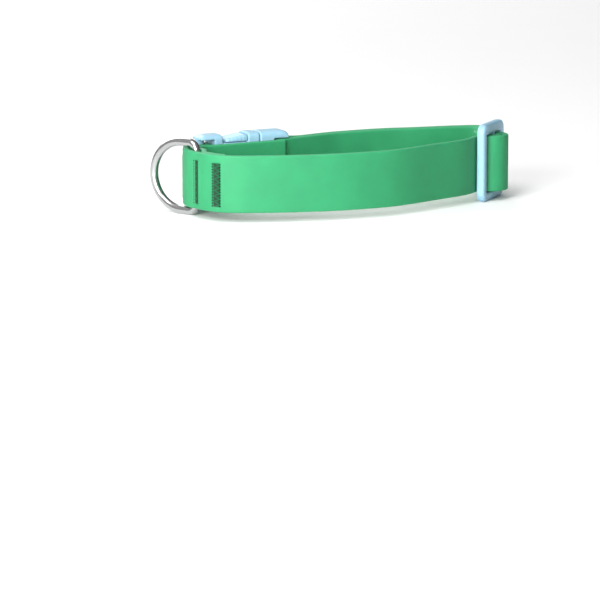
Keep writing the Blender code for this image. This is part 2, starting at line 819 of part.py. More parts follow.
def main():
    for existing in list(bpy.data.objects):
        bpy.data.objects.remove(existing, do_unlink=True)
    coated = material("coated_strap", STRAP_COLOUR, 0.5)
    plastic = material("moulded_plastic", PLASTIC_COLOUR, 0.45)
    steel = material("satin_steel", STEEL_COLOUR, 0.3, 1.0)
    line = LoopLine()
    add_object("strap", ribbon(thin(strap_path(line))), coated)
    add_object("guard_strip", ribbon(thin(guard_path(line))), coated)
    build_ring(line, steel)
    build_slider(plastic)
    buckle_place = placed_empty("buckle_place", buckle_frame())
    build_female(buckle_place, plastic)
    build_male(buckle_place, plastic)
    centre_on_origin()


main()
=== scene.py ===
"""Looks of a small dog collar of coated strap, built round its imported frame.

The collar lies closed on a pale floor. Each sub-assembly is a class: it holds its sizes, builds its meshes
and dresses them. Everything is in metres, in the frame's own coordinates.
"""
import json
import logging
import math
from bisect import bisect_right
from dataclasses import dataclass, field
from enum import Enum
from functools import reduce
from typing import Any, Callable, Optional, Sequence, Union

import bmesh
import bpy
from bpy.types import Material, Mesh, Node, NodeSocket, NodeTree, Object
from mathutils import Matrix, Vector


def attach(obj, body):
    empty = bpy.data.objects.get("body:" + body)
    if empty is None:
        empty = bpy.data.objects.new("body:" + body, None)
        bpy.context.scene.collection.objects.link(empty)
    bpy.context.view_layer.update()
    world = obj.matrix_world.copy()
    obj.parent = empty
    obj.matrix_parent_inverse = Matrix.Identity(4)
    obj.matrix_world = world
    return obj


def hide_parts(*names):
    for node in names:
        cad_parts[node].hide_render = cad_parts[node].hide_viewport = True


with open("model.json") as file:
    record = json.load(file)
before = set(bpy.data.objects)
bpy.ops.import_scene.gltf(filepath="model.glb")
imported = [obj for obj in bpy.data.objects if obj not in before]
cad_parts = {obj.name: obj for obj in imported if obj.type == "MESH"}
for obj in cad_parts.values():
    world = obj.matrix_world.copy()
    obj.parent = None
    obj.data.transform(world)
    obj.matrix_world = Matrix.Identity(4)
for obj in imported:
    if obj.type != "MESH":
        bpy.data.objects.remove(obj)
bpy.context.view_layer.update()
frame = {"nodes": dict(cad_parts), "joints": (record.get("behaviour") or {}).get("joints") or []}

LOG = logging.getLogger("dog_collar")
MM = 0.001
COLLAR_BODY = "collar"
RING_BODY = "leash_ring"
WHITE = (1.0, 1.0, 1.0, 1.0)
HINGE = Vector(frame["joints"][0]["pos_m"])
# Largest turn between neighbouring points of an arc, in degrees
ARC_STEP = 3.0
# Steps shorter than this, in metres, have no direction
TINY = 1e-7
# Range in which most of a noise lies
NOISE_RANGE = (0.3, 0.7)
# Strength of each finer octave of a noise beside the one before it
NOISE_ROUGHNESS = 0.55
# Finer octaves of a plain, a usual and a rich noise
PLAIN_DETAIL = 1.0
USUAL_DETAIL = 2.0
RICH_DETAIL = 3.0

Colour = tuple[float, float, float]
Inputs = dict[Union[str, int], Any]


class Socket(Enum):
    """Kinds of value that a geometry tree takes in."""

    GEOMETRY = "NodeSocketGeometry"
    LENGTH = "NodeSocketFloat"
    COUNT = "NodeSocketInt"
    PIECE = "NodeSocketObject"
    FINISH = "NodeSocketMaterial"


class Layer(Enum):
    """Layers of strap that lie on each other, from the outside of the collar inwards."""

    OUTER = "outer"
    INNER = "inner"
    GUARD = "guard"


class BuckleHalf(Enum):
    """The two halves of the release buckle, by the frame's names for them."""

    SOCKET = "buckle_socket"
    PLUG = "buckle_plug"


def smooth(share: float) -> float:
    """Eases from 0 to 1."""
    share = min(max(share, 0.0), 1.0)
    return share * share * (3.0 - 2.0 * share)


def bump(distance: float, reach: float) -> float:
    """Gives the height of a smooth hump.

    Args:
        distance: The distance from the hump's middle.
        reach: The distance where it ends, on both sides.

    Returns:
        The hump's height there, 1 at its middle.
    """
    if abs(distance) >= reach:
        return 0.0
    return math.cos(0.5 * math.pi * distance / reach) ** 2


def heading_vector(degrees: float) -> Vector:
    """Gives the unit vector in plan at a heading, 0 along +X and 90 along +Y."""
    angle = math.radians(degrees)
    return Vector((math.cos(angle), math.sin(angle)))


def right_of(direction: Vector) -> Vector:
    """Gives the unit vector to the right of a direction in plan."""
    return Vector((direction.y, -direction.x))


def mirrored(points: Sequence[Vector]) -> list[Vector]:
    """Turns local points over, so that what ran one way along the strap runs the other way."""
    return [Vector((-point.x, point.y)) for point in points]


def path_directions(path: Sequence[Vector]) -> list[Vector]:
    """Gives the unit direction of a plan path at each of its points.

    Args:
        path: Plan points in order.

    Returns:
        One direction for each point, from the point before it to the point after it.
    """
    last = len(path) - 1
    return [(path[min(i + 1, last)] - path[max(i - 1, 0)]).normalized() for i in range(len(path))]


def path_lengths(path: Sequence[Vector]) -> list[float]:
    """Gives the length walked to each point of a path.

    Args:
        path: Points in order.

    Returns:
        One length for each point, from 0.
    """
    lengths = [0.0]
    for before, after in zip(path, path[1:]):
        lengths.append(lengths[-1] + (after - before).length)
    return lengths


def arc(centre: Vector, radius: float, start: float, end: float) -> list[Vector]:
    """Gives points along a circle.

    Args:
        centre: The circle's centre.
        radius: Its radius.
        start: The first point's angle in degrees.
        end: The last point's angle in degrees.

    Returns:
        Points three degrees apart at most, both ends included.
    """
    count = max(2, math.ceil(abs(end - start) / ARC_STEP))
    turns = [start + (end - start) * index / count for index in range(count + 1)]
    return [centre + heading_vector(turn) * radius for turn in turns]


def set_inputs(tree: NodeTree, node: Node, inputs: Inputs) -> None:
    """Feeds the inputs of a node.

    Args:
        tree: The node's tree.
        node: The node.
        inputs: A socket to link or a plain value to set for each input, by the input's name or number.
    """
    for key, value in inputs.items():
        if isinstance(value, NodeSocket):
            tree.links.new(value, node.inputs[key])
        else:
            node.inputs[key].default_value = value


def add_node(tree: NodeTree, kind: str, inputs: Optional[Inputs] = None, **settings: Any) -> Node:
    """Adds one node to a tree.

    Args:
        tree: The tree.
        kind: The node's type name.
        inputs: A socket or a plain value for each input, by the input's name or number.
        **settings: The node's own properties.

    Returns:
        The new node.
    """
    node = tree.nodes.new(kind)
    for name, value in settings.items():
        setattr(node, name, value)
    set_inputs(tree, node, inputs or {})
    return node


def maths(tree: NodeTree, operation: str, first: Any, second: Any = 0.0) -> NodeSocket:
    """Adds a Math node and gives its value."""
    return add_node(tree, "ShaderNodeMath", {0: first, 1: second}, operation=operation).outputs[0]


def product(tree: NodeTree, *factors: Any) -> NodeSocket:
    """Multiplies sockets and numbers, from left to right."""
    return reduce(lambda made, factor: maths(tree, "MULTIPLY", made, factor), factors)


def vector_maths(tree: NodeTree, operation: str, first: Any, second: Any) -> NodeSocket:
    """Adds a Vector Math node and gives its result, which is a number for a dot product."""
    node = add_node(tree, "ShaderNodeVectorMath", {0: first, 1: second}, operation=operation)
    return node.outputs["Value" if operation == "DOT_PRODUCT" else "Vector"]


def scaled(tree: NodeTree, vector: Any, factor: Any) -> NodeSocket:
    """Multiplies a vector by a number."""
    return add_node(tree, "ShaderNodeVectorMath", {0: vector, "Scale": factor}, operation="SCALE").outputs[0]


def vector_of(tree: NodeTree, **parts: Any) -> NodeSocket:
    """Makes a vector of its given parts, x, y or z, with the others 0."""
    inputs = {name.upper(): part for name, part in parts.items()}
    return add_node(tree, "ShaderNodeCombineXYZ", inputs).outputs[0]


def ramp(
    tree: NodeTree, value: Any, low: float, high: float, start: float = 0.0, end: float = 1.0
) -> NodeSocket:
    """Adds a smooth Map Range node and gives its result.

    Args:
        tree: The tree.
        value: The socket to map.
        low: The value that maps to start.
        high: The value that maps to end.
        start: The result at low.
        end: The result at high.

    Returns:
        The node's result socket.
    """
    inputs = {"Value": value, "From Min": low, "From Max": high, "To Min": start, "To Max": end}
    return add_node(tree, "ShaderNodeMapRange", inputs, interpolation_type="SMOOTHSTEP").outputs["Result"]


def blend_colours(tree: NodeTree, share: Any, first: Any, second: Any) -> NodeSocket:
    """Mixes two colours.

    Args:
        tree: The tree.
        share: The share of the second colour.
        first: A socket or a plain colour.
        second: A socket or a plain colour.

    Returns:
        The mixed colour's socket.
    """
    inputs = {
        number: (*value, 1.0) if isinstance(value, tuple) else value
        for number, value in ((0, share), (6, first), (7, second))
    }
    return add_node(tree, "ShaderNodeMix", inputs, data_type="RGBA").outputs[2]


def noise(tree: NodeTree, vector: Any, grain: float, detail: float = USUAL_DETAIL) -> NodeSocket:
    """Adds a noise of one grain size.

    Args:
        tree: The tree.
        vector: The coordinate socket that it reads.
        grain: The size of its grains in metres.
        detail: How many finer octaves it has.

    Returns:
        Its value socket.
    """
    inputs = {"Vector": vector, "Scale": 1.0 / grain, "Detail": detail, "Roughness": NOISE_ROUGHNESS}
    return add_node(tree, "ShaderNodeTexNoise", inputs).outputs["Fac"]


def mesh_value(tree: NodeTree, name: str) -> NodeSocket:
    """Reads one of the piece's own values in a material."""
    return add_node(tree, "ShaderNodeAttribute", attribute_name=name).outputs["Fac"]


def named_attribute(tree: NodeTree, name: str, data_type: str = "FLOAT") -> NodeSocket:
    """Reads a named attribute in a geometry tree."""
    node = add_node(tree, "GeometryNodeInputNamedAttribute", {"Name": name}, data_type=data_type)
    return next(socket for socket in node.outputs if socket.enabled and socket.name == "Attribute")


def add_object(name: str, data: Any) -> Object:
    """Puts a new object into the scene.

    Args:
        name: The object's name.
        data: Its mesh, light or camera.

    Returns:
        The new object.
    """
    made = bpy.data.objects.new(name, data)
    bpy.context.scene.collection.objects.link(made)
    return made


@dataclass(frozen=True)
class SurfaceFinish:
    """What every finish has: its name, its colour, its gloss, and how far both vary."""

    name: str
    base: Colour
    roughness: float
    tone: float = 1.0
    gloss_spread: tuple[float, float] = (0.0, 0.0)

    def start(self, metallic: float = 0.0) -> tuple[Material, NodeTree, Node, NodeSocket]:
        """Makes the empty material.

        Args:
            metallic: The shader's metallic value.

        Returns:
            The material, its tree, its shader node and the Object coordinate socket.
        """
        material = bpy.data.materials.new(self.name)
        material.use_nodes = True
        material.diffuse_color = (*self.base, 1.0)
        tree = material.node_tree
        shader = tree.nodes["Principled BSDF"]
        set_inputs(tree, shader, {
            "Base Color": (*self.base, 1.0), "Roughness": self.roughness, "Metallic": metallic,
        })
        return material, tree, shader, add_node(tree, "ShaderNodeTexCoord").outputs["Object"]

    def mottled(self, tree: NodeTree, share: Any) -> NodeSocket:
        """Varies the colour from its darker tone, where share is 0, to itself."""
        return blend_colours(tree, share, tuple(self.tone * channel for channel in self.base), self.base)

    def uneven(self, tree: NodeTree, share: Any, low: float, high: float) -> NodeSocket:
        """Varies the roughness over its spread as share goes from low to high."""
        smoother, rougher = self.gloss_spread
        return ramp(tree, share, low, high, self.roughness + smoother, self.roughness + rougher)

    @staticmethod
    def relief(tree: NodeTree, layers: Sequence[tuple[Any, float]]) -> NodeSocket:
        """Stacks bump layers.

        Args:
            tree: The material's tree.
            layers: Height socket and depth in metres of each layer.

        Returns:
            The normal socket for the shader.
        """
        normal: Inputs = {}
        for height, depth in layers:
            inputs = {"Height": height, "Distance": depth, "Strength": 1.0, **normal}
            normal = {"Normal": add_node(tree, "ShaderNodeBump", inputs).outputs["Normal"]}
        return normal["Normal"]


@dataclass(frozen=True)
class StrapFinish(SurfaceFinish):
    """Smooth matte coating over webbing, with a painted highlight along the long edges and painted shade
    laid into the recesses where stitches press it in.
    """

    tone: float = 0.9
    gloss_spread: tuple[float, float] = (-0.05, 0.06)
    cloud: float = 9.0 * MM
    cloud_range: tuple[float, float] = (0.25, 0.75)
    wave: float = 6.0 * MM
    wave_depth: float = 0.1 * MM
    grain: float = 0.35 * MM
    grain_depth: float = 0.012 * MM
    # Painted highlight: a paler colour along the strap's top and bottom edges
    edge_highlight: Colour = (0.06, 0.36, 0.17)
    edge_highlight_share: float = 0.5
    edge_highlight_band: float = 0.45 * MM
    middle_height: float = 12.8 * MM
    half_width: float = 9.5 * MM
    # Painted shade: a near-black colour laid into the recess where the tack stitches press the strap in
    pressed: Colour = (0.0006, 0.008, 0.003)
    recess_shade_share: float = 0.9
    recess_shade_range: tuple[float, float] = (0.15, 0.75)
    core: Colour = (0.12, 0.38, 0.2)
    core_fibre: float = 0.25 * MM
    core_range: tuple[float, float] = (0.35, 0.65)
    specular: float = 0.3
    coat: float = 0.05
    coat_roughness: float = 0.38

    def material(self) -> Material:
        """Builds the strap's material.

        Returns:
            The new material.
        """
        material, tree, shader, place = self.start()
        cloudy = noise(tree, place, self.cloud, RICH_DETAIL)
        height = add_node(tree, "ShaderNodeSeparateXYZ", {0: place}).outputs["Z"]
        from_middle = maths(tree, "ABSOLUTE", maths(tree, "SUBTRACT", height, self.middle_height))
        inside = self.half_width - self.edge_highlight_band
        # Painted highlight along the top and bottom edges of the strap
        at_edge_highlight = ramp(tree, from_middle, inside, self.half_width, 0.0, self.edge_highlight_share)
        colour = self.mottled(tree, ramp(tree, cloudy, *NOISE_RANGE))
        colour = blend_colours(tree, at_edge_highlight, colour, self.edge_highlight)
        # Painted shade in the tack recesses
        tack_recess_shade = ramp(tree, mesh_value(tree, "pressed"), *self.recess_shade_range, 0.0, self.recess_shade_share)
        colour = blend_colours(tree, tack_recess_shade, colour, self.pressed)
        fibre = ramp(tree, noise(tree, place, self.core_fibre), *self.core_range)
        cut_end = blend_colours(tree, fibre, self.base, self.core)
        layers = [
            (noise(tree, place, self.wave, PLAIN_DETAIL), self.wave_depth),
            (noise(tree, place, self.grain), self.grain_depth),
        ]
        set_inputs(tree, shader, {
            "Base Color": blend_colours(tree, mesh_value(tree, "cut"), colour, cut_end),
            "Roughness": self.uneven(tree, cloudy, *self.cloud_range),
            "Specular IOR Level": self.specular,
            "Coat Weight": self.coat,
            "Coat Roughness": self.coat_roughness,
            "Normal": self.relief(tree, layers),
        })
        return material


@dataclass(frozen=True)
class PlasticFinish(SurfaceFinish):
    """Moulded plastic with a fine eroded texture and faint flow clouds."""

    tone: float = 0.91
    gloss_spread: tuple[float, float] = (-0.06, 0.08)
    flow: float = 7.0 * MM
    grain: float = 0.22 * MM
    grain_depth: float = 0.018 * MM
    glow: float = 0.12
    glow_colour: Colour = (0.6, 0.9, 1.0)
    glow_reach: float = 0.6 * MM

    def material(self) -> Material:
        """Builds the plastic's material.

        Returns:
            The new material.
        """
        material, tree, shader, place = self.start()
        grain = noise(tree, place, self.grain, RICH_DETAIL)
        set_inputs(tree, shader, {
            "Base Color": self.mottled(tree, ramp(tree, noise(tree, place, self.flow), *NOISE_RANGE)),
            "Roughness": self.uneven(tree, grain, *NOISE_RANGE),
            "Subsurface Weight": self.glow,
            "Subsurface Radius": self.glow_colour,
            "Subsurface Scale": self.glow_reach,
            "Normal": self.relief(tree, [(grain, self.grain_depth)]),
        })
        return material


@dataclass(frozen=True)
class SteelFinish(SurfaceFinish):
    """Satin steel wire, brushed along its length."""

    tone: float = 0.8
    gloss_spread: tuple[float, float] = (-0.05, 0.06)
    handled_spread: tuple[float, float] = (-0.03, 0.04)
    handled: float = 5.0 * MM
    scratch_along: float = 9.0 * MM
    scratch_across: float = 0.12 * MM
    scratch_depth: float = 0.006 * MM

    def material(self) -> Material:
        """Builds the steel's material.

        Returns:
            The new material.
        """
        material, tree, shader, place = self.start(metallic=1.0)
        strokes = vector_of(
            tree,
            x=maths(tree, "DIVIDE", mesh_value(tree, "along"), self.scratch_along),
            y=maths(tree, "DIVIDE", mesh_value(tree, "around"), self.scratch_across),
        )
        inputs = {"Vector": strokes, "Scale": 1.0, "Detail": RICH_DETAIL}
        brushed = add_node(tree, "ShaderNodeTexNoise", inputs).outputs["Fac"]
        worn = ramp(tree, noise(tree, place, self.handled), *NOISE_RANGE, *self.handled_spread)
        scratched = ramp(tree, brushed, *NOISE_RANGE, *self.gloss_spread)
        set_inputs(tree, shader, {
            "Base Color": self.mottled(tree, brushed),
            "Roughness": maths(tree, "ADD", maths(tree, "ADD", scratched, worn), self.roughness),
            "Normal": self.relief(tree, [(brushed, self.scratch_depth)]),
        })
        return material


@dataclass(frozen=True)
class ThreadFinish(SurfaceFinish):
    """Sewing thread, dyed darker than the strap, dull and fibrous."""

    tone: float = 0.55
    fibre: float = 0.12 * MM
    fibre_range: tuple[float, float] = (0.3, 0.65)
    fibre_depth: float = 0.03 * MM
    specular: float = 0.15

    def material(self) -> Material:
        """Builds the thread's material.

        Returns:
            The new material.
        """
        material, tree, shader, place = self.start()
        fibre = noise(tree, place, self.fibre)
        set_inputs(tree, shader, {
            "Base Color": self.mottled(tree, ramp(tree, fibre, *self.fibre_range)),
            "Specular IOR Level": self.specular,
            "Normal": self.relief(tree, [(fibre, self.fibre_depth)]),
        })
        return material


@dataclass(frozen=True)
class FloorFinish(SurfaceFinish):
    """Plain pale floor."""

    tone: float = 0.985
    speckle: float = 40.0 * MM

    def material(self) -> Material:
        """Builds the floor's material.

        Returns:
            The new material.
        """
        material, tree, shader, place = self.start()
        set_inputs(tree, shader, {"Base Color": self.mottled(tree, noise(tree, place, self.speckle))})
        return material


STRAP_FINISH = StrapFinish("coated_strap", (0.024, 0.26, 0.105), 0.62)
PLASTIC_FINISH = PlasticFinish("moulded_plastic", (0.28, 0.49, 0.62), 0.42)
STEEL_FINISH = SteelFinish("satin_steel", (0.5, 0.5, 0.505), 0.2)
THREAD_FINISH = ThreadFinish("tack_thread", (0.012, 0.14, 0.052), 0.75)
# Painted shade: near-black finish for the dots that stand in for the shade inside the needle holes
NEEDLE_HOLE_SHADE_FINISH = ThreadFinish("needle_hole_shade", (0.001, 0.008, 0.003), 0.8)
FLOOR_FINISH = FloorFinish("pale_floor", (0.94, 0.94, 0.94), 0.7)


class GeometryTree:
    """A geometry node tree with named inputs, which ends in Realize Instances and Set Material."""

    def __init__(self, name: str, inputs: dict[str, Socket]) -> None:
        """Makes the tree with its inputs.

        Args:
            name: The tree's name.
            inputs: The kind of each named input beside the geometry and the finish.
        """
        self.tree = bpy.data.node_groups.new(name, "GeometryNodeTree")
        interface = self.tree.interface
        for label, kind in {"Geometry": Socket.GEOMETRY, **inputs, "Finish": Socket.FINISH}.items():
            interface.new_socket(label, in_out="INPUT", socket_type=kind.value)
        interface.new_socket("Geometry", in_out="OUTPUT", socket_type=Socket.GEOMETRY.value)
        self.source = self.tree.nodes.new("NodeGroupInput")

    def take(self, label: str) -> NodeSocket:
        """Gives the socket of a named input."""
        return self.source.outputs[label]

    def add(self, kind: str, inputs: Optional[Inputs] = None, **settings: Any) -> Node:
        """Adds one node."""
        return add_node(self.tree, kind, inputs, **settings)

    def curve(self, mesh: NodeSocket) -> NodeSocket:
        """Makes a curve of a mesh's bare edges."""
        return self.add("GeometryNodeMeshToCurve", {"Mesh": mesh}).outputs["Curve"]

    def circle(self, sides: Any, diameter: NodeSocket) -> NodeSocket:
        """Makes a round curve."""
        inputs = {"Resolution": sides, "Radius": product(self.tree, diameter, 0.5)}
        return self.add("GeometryNodeCurvePrimitiveCircle", inputs).outputs["Curve"]

    def store(
        self, geometry: NodeSocket, name: str, value: Any, domain: str = "POINT", data_type: str = "FLOAT"
    ) -> NodeSocket:
        """Writes a value on a geometry under a name.

        Args:
            geometry: The geometry.
            name: The name.
            value: The value, a socket or a number.
            domain: Whether each point or each face has a value.
            data_type: Whether it is a number or a vector.

        Returns:
            The geometry with the value on it.
        """
        inputs = {"Geometry": geometry, "Name": name, "Value": value}
        node = self.add("GeometryNodeStoreNamedAttribute", inputs, data_type=data_type, domain=domain)
        return node.outputs["Geometry"]

    def repeat(self, points: NodeSocket, thing: NodeSocket, turn: NodeSocket, size: Any) -> NodeSocket:
        """Puts a copy of a thing at every point, turned and stretched."""
        inputs = {"Points": points, "Instance": thing, "Rotation": turn, "Scale": size}
        return self.add("GeometryNodeInstanceOnPoints", inputs).outputs["Instances"]

    def end(self, geometry: NodeSocket, parts: Optional[dict[str, NodeSocket]] = None) -> None:
        """Closes the tree with Realize Instances and Set Material.

        Args:
            geometry: What the tree has made.
            parts: For each further finish, by its input's name, the selection of faces that take it.
        """
        made = self.add("GeometryNodeRealizeInstances", {"Geometry": geometry}).outputs["Geometry"]
        for label, selection in {"Finish": True, **(parts or {})}.items():
            inputs = {"Geometry": made, "Selection": selection, "Material": self.take(label)}
            made = self.add("GeometryNodeSetMaterial", inputs).outputs["Geometry"]
        self.add("NodeGroupOutput", {"Geometry": made})

    def grow(self, name: str, seed: Mesh, values: dict[str, Any]) -> Object:
        """Runs the tree on a mesh and makes a plain mesh object of the result.

        Args:
            name: The new object's name.
            seed: The mesh that the tree starts from.
            values: A value for each named input.

        Returns:
            The finished object, at the origin and without modifiers.
        """
        holder = add_object(name + "_seed", seed)
        modifier = holder.modifiers.new(name, "NODES")
        modifier.node_group = self.tree
        for item in self.tree.interface.items_tree:
            if item.in_out == "INPUT" and item.name in values:
                modifier[item.identifier] = values[item.name]
        return settle(name, holder)


def settle(name: str, holder: Object) -> Object:
    """Makes a plain mesh object from what an object's modifiers give, and removes the object.

    Args:
        name: The new object's name.
        holder: The object with its modifiers.

    Returns:
        The plain object.
    """
    depsgraph = bpy.context.evaluated_depsgraph_get()
    mesh = bpy.data.meshes.new_from_object(
        holder.evaluated_get(depsgraph), preserve_all_data_layers=True, depsgraph=depsgraph
    )
    mesh.name = name
    bpy.data.objects.remove(holder)
    return add_object(name, mesh)


def line_mesh(
    name: str, points: Sequence[Vector], edges: Sequence[tuple[int, int]], **attributes: Sequence[Any]
) -> Mesh:
    """Makes a mesh of bare edges whose points carry named values.

    Args:
        name: The mesh's name.
        points: Its points.
        edges: Pairs of point numbers.
        **attributes: Numbers or vectors, one for each point.

    Returns:
        The mesh.
    """
    mesh = bpy.data.meshes.new(name)
    mesh.from_pydata([tuple(point) for point in points], list(edges), [])
    for label, values in attributes.items():
        is_vector = isinstance(values[0], Vector)
        layer = mesh.attributes.new(label, "FLOAT_VECTOR" if is_vector else "FLOAT", "POINT")
        flat = [part for value in values for part in value] if is_vector else list(values)
        layer.data.foreach_set("vector" if is_vector else "value", flat)
    return mesh


def ring_edges(count: int) -> list[tuple[int, int]]:
    """Gives the edges of a closed line."""
    return [(index, (index + 1) % count) for index in range(count)]


def finish_piece(piece: Object, body: str, replaces: Sequence[str], crease: float) -> None:
    """Shades a finished piece, hangs it on its body and reports it.

    Args:
        piece: The finished object.
        body: The body that it rides on.
        replaces: Names of the frame's nodes that it stands for.
        crease: The edge angle in degrees past which an edge stays sharp.
    """
    piece.data.shade_smooth()
    piece.data.set_sharp_from_angle(angle=math.radians(crease))
    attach(piece, body)
    if replaces:
        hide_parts(*replaces)
    LOG.info("%s: %d faces, rides on %s", piece.name, len(piece.data.polygons), body)


@dataclass(frozen=True)
class RigidPlace:
    """Straight plan frame of one stiff piece: u along the strap, n outwards."""

    origin: Vector
    heading: float

    def at(self, along: float, out: float) -> Vector:
        """Gives the plan point at a distance along and outwards."""
        u = heading_vector(self.heading)
        return self.origin + u * along + right_of(u) * out

    def put(self, points: Sequence[Vector]) -> list[Vector]:
        """Gives the plan points of a row of local points."""
        return [self.at(*point) for point in points]

    def matrix(self) -> Matrix:
        """Gives the placing matrix whose x runs along the strap and whose y runs inwards."""
        turn = Matrix.Rotation(math.radians(self.heading), 4, "Z")
        return Matrix.Translation((self.origin.x, self.origin.y, 0.0)) @ turn


@dataclass(frozen=True)
class Station:
    """A named place on the strap's line: shares of the loop's half width and half depth, and a heading."""

    name: str
    x: float
    y: float
    heading: float


@dataclass
class CollarLine:
    """The middle of the outer strap layer in plan, from the buckle's female bar round to its male bar."""

    half_width: float = 50.0 * MM
    half_depth: float = 35.0 * MM
    turn_radius: float = 7.2 * MM
    turn_end_heading: float = 188.0
    slider_length: float = 20.0 * MM
    buckle_length: float = 33.5 * MM
    bar_diameter: float = 3.0 * MM
    ring_bar_depth: float = 2.2 * MM
    step: float = 0.25 * MM
    female_bar: Station = Station("female_bar", -0.870, -0.214, 208.2)
    left: tuple[Station, ...] = (
        Station("left_turn", -0.958, -0.429, 268.0),
        Station("ring", -0.924, -0.614, 291.0),
        Station("second_tack", -0.866, -0.760, 303.0),
        Station("third_tack", -0.735, -0.948, 332.0),
        Station("front_left", -0.540, -1.000, 2.0),
        Station("front_middle", -0.070, -0.905, 13.0),
        Station("front_right", 0.325, -0.690, 27.0),
        Station("right_bend", 0.670, -0.270, 47.0),
    )
    slider: Station = Station("slider", 1.038, 0.483, 68.0)
    back: tuple[Station, ...] = (
        Station("back_right", 0.480, 0.850, 191.0),
        Station("back_middle", 0.060, 0.600, 208.0),
    )
    shift: Vector = field(default_factory=lambda: Vector((0.0, 0.0)))
    points: list[Vector] = field(default_factory=list)
    lengths: list[float] = field(default_factory=list)
    directions: list[Vector] = field(default_factory=list)
    marks: dict[str, float] = field(default_factory=dict)

    def __post_init__(self) -> None:
        """Draws the line, then moves it so that the ring's bar stands on the frame's joint."""
        self.draw()
        self.shift = HINGE.xy - self.at(self.marks["ring"], -self.ring_bar_depth)
        self.draw()

    def place(self, station: Station) -> Vector:
        """Gives the plan point of a station."""
        return Vector((station.x * self.half_width, station.y * self.half_depth)) + self.shift

    def draw(self) -> None:
        """Works out the line's points, its lengths and its marks."""
        self.points = [self.place(self.female_bar)]
        numbers: dict[str, int] = {}
        heading = self.female_bar.heading
        for station in self.left:
            heading = self.reach(self.place(station), heading, station.heading)
            numbers[station.name] = len(self.points) - 1
        slider = self.slider_place()
        half = self.slider_length / 2
        self.reach(slider.at(-half, 0.0), heading, slider.heading)
        numbers["slider_in"] = len(self.points) - 1
        self.reach(slider.at(half, 0.0), slider.heading, slider.heading)
        numbers["slider_out"] = len(self.points) - 1
        heading = self.turn(slider.heading)
        for station in self.back:
            heading = self.reach(self.place(station), heading, station.heading)
        self.reach(self.buckle_place().at(-self.bar_offset(), 0.0), heading, self.female_bar.heading)
        self.lengths = path_lengths(self.points)
        self.directions = path_directions(self.points)
        self.marks = {name: self.lengths[number] for name, number in numbers.items()}

    def reach(self, point: Vector, heading: float, end_heading: float) -> float:
        """Adds a smooth stretch to the line.

        Args:
            point: Where the stretch ends.
            heading: The heading that it starts with, in degrees.
            end_heading: The heading that it ends with.

        Returns:
            The heading that it ends with.
        """
        start = self.points[-1]
        chord = (point - start).length
        leave = heading_vector(heading) * chord
        arrive = heading_vector(end_heading) * chord
        count = max(4, int(chord / self.step))
        for index in range(1, count + 1):
            t = index / count
            self.points.append(
                start * (2 * t**3 - 3 * t**2 + 1) + leave * (t**3 - 2 * t**2 + t)
                + point * (3 * t**2 - 2 * t**3) + arrive * (t**3 - t**2)
            )
        return end_heading

    def turn(self, heading: float) -> float:
        """Adds the tight round turn behind the slider to the line.

        Args:
            heading: The heading that it starts with, in degrees.

        Returns:
            The heading that it ends with.
        """
        start = self.points[-1]
        centre = start - right_of(heading_vector(heading)) * self.turn_radius
        sweep = self.turn_end_heading - heading
        count = int(sweep / ARC_STEP)
        for index in range(1, count + 1):
            direction = heading_vector(heading + sweep * index / count)
            self.points.append(centre + right_of(direction) * self.turn_radius)
        return self.turn_end_heading

    def at(self, length: float, out: float) -> Vector:
        """Gives the plan point at a length along the line, moved outwards.

        Args:
            length: The length walked from the female bar.
            out: The distance outwards.

        Returns:
            The plan point.
        """
        high = min(max(bisect_right(self.lengths, length), 1), len(self.lengths) - 1)
        low = high - 1
        share = (length - self.lengths[low]) / (self.lengths[high] - self.lengths[low])
        here = self.points[low].lerp(self.points[high], share)
        direction = self.directions[low].lerp(self.directions[high], share).normalized()
        return here + right_of(direction) * out

    def total(self) -> float:
        """Gives the line's whole length."""
        return self.lengths[-1]

    def bar_offset(self) -> float:
        """Gives the distance of each end bar's axis from the buckle's middle."""
        return self.buckle_length / 2 - self.bar_diameter / 2

    def buckle_place(self) -> RigidPlace:
        """Gives the buckle's plan frame, whose u runs from the male bar to the female bar."""
        heading = self.female_bar.heading
        return RigidPlace(self.place(self.female_bar) - heading_vector(heading) * self.bar_offset(), heading)

    def slider_place(self) -> RigidPlace:
        """Gives the slider's plan frame."""
        return RigidPlace(self.place(self.slider), self.slider.heading)


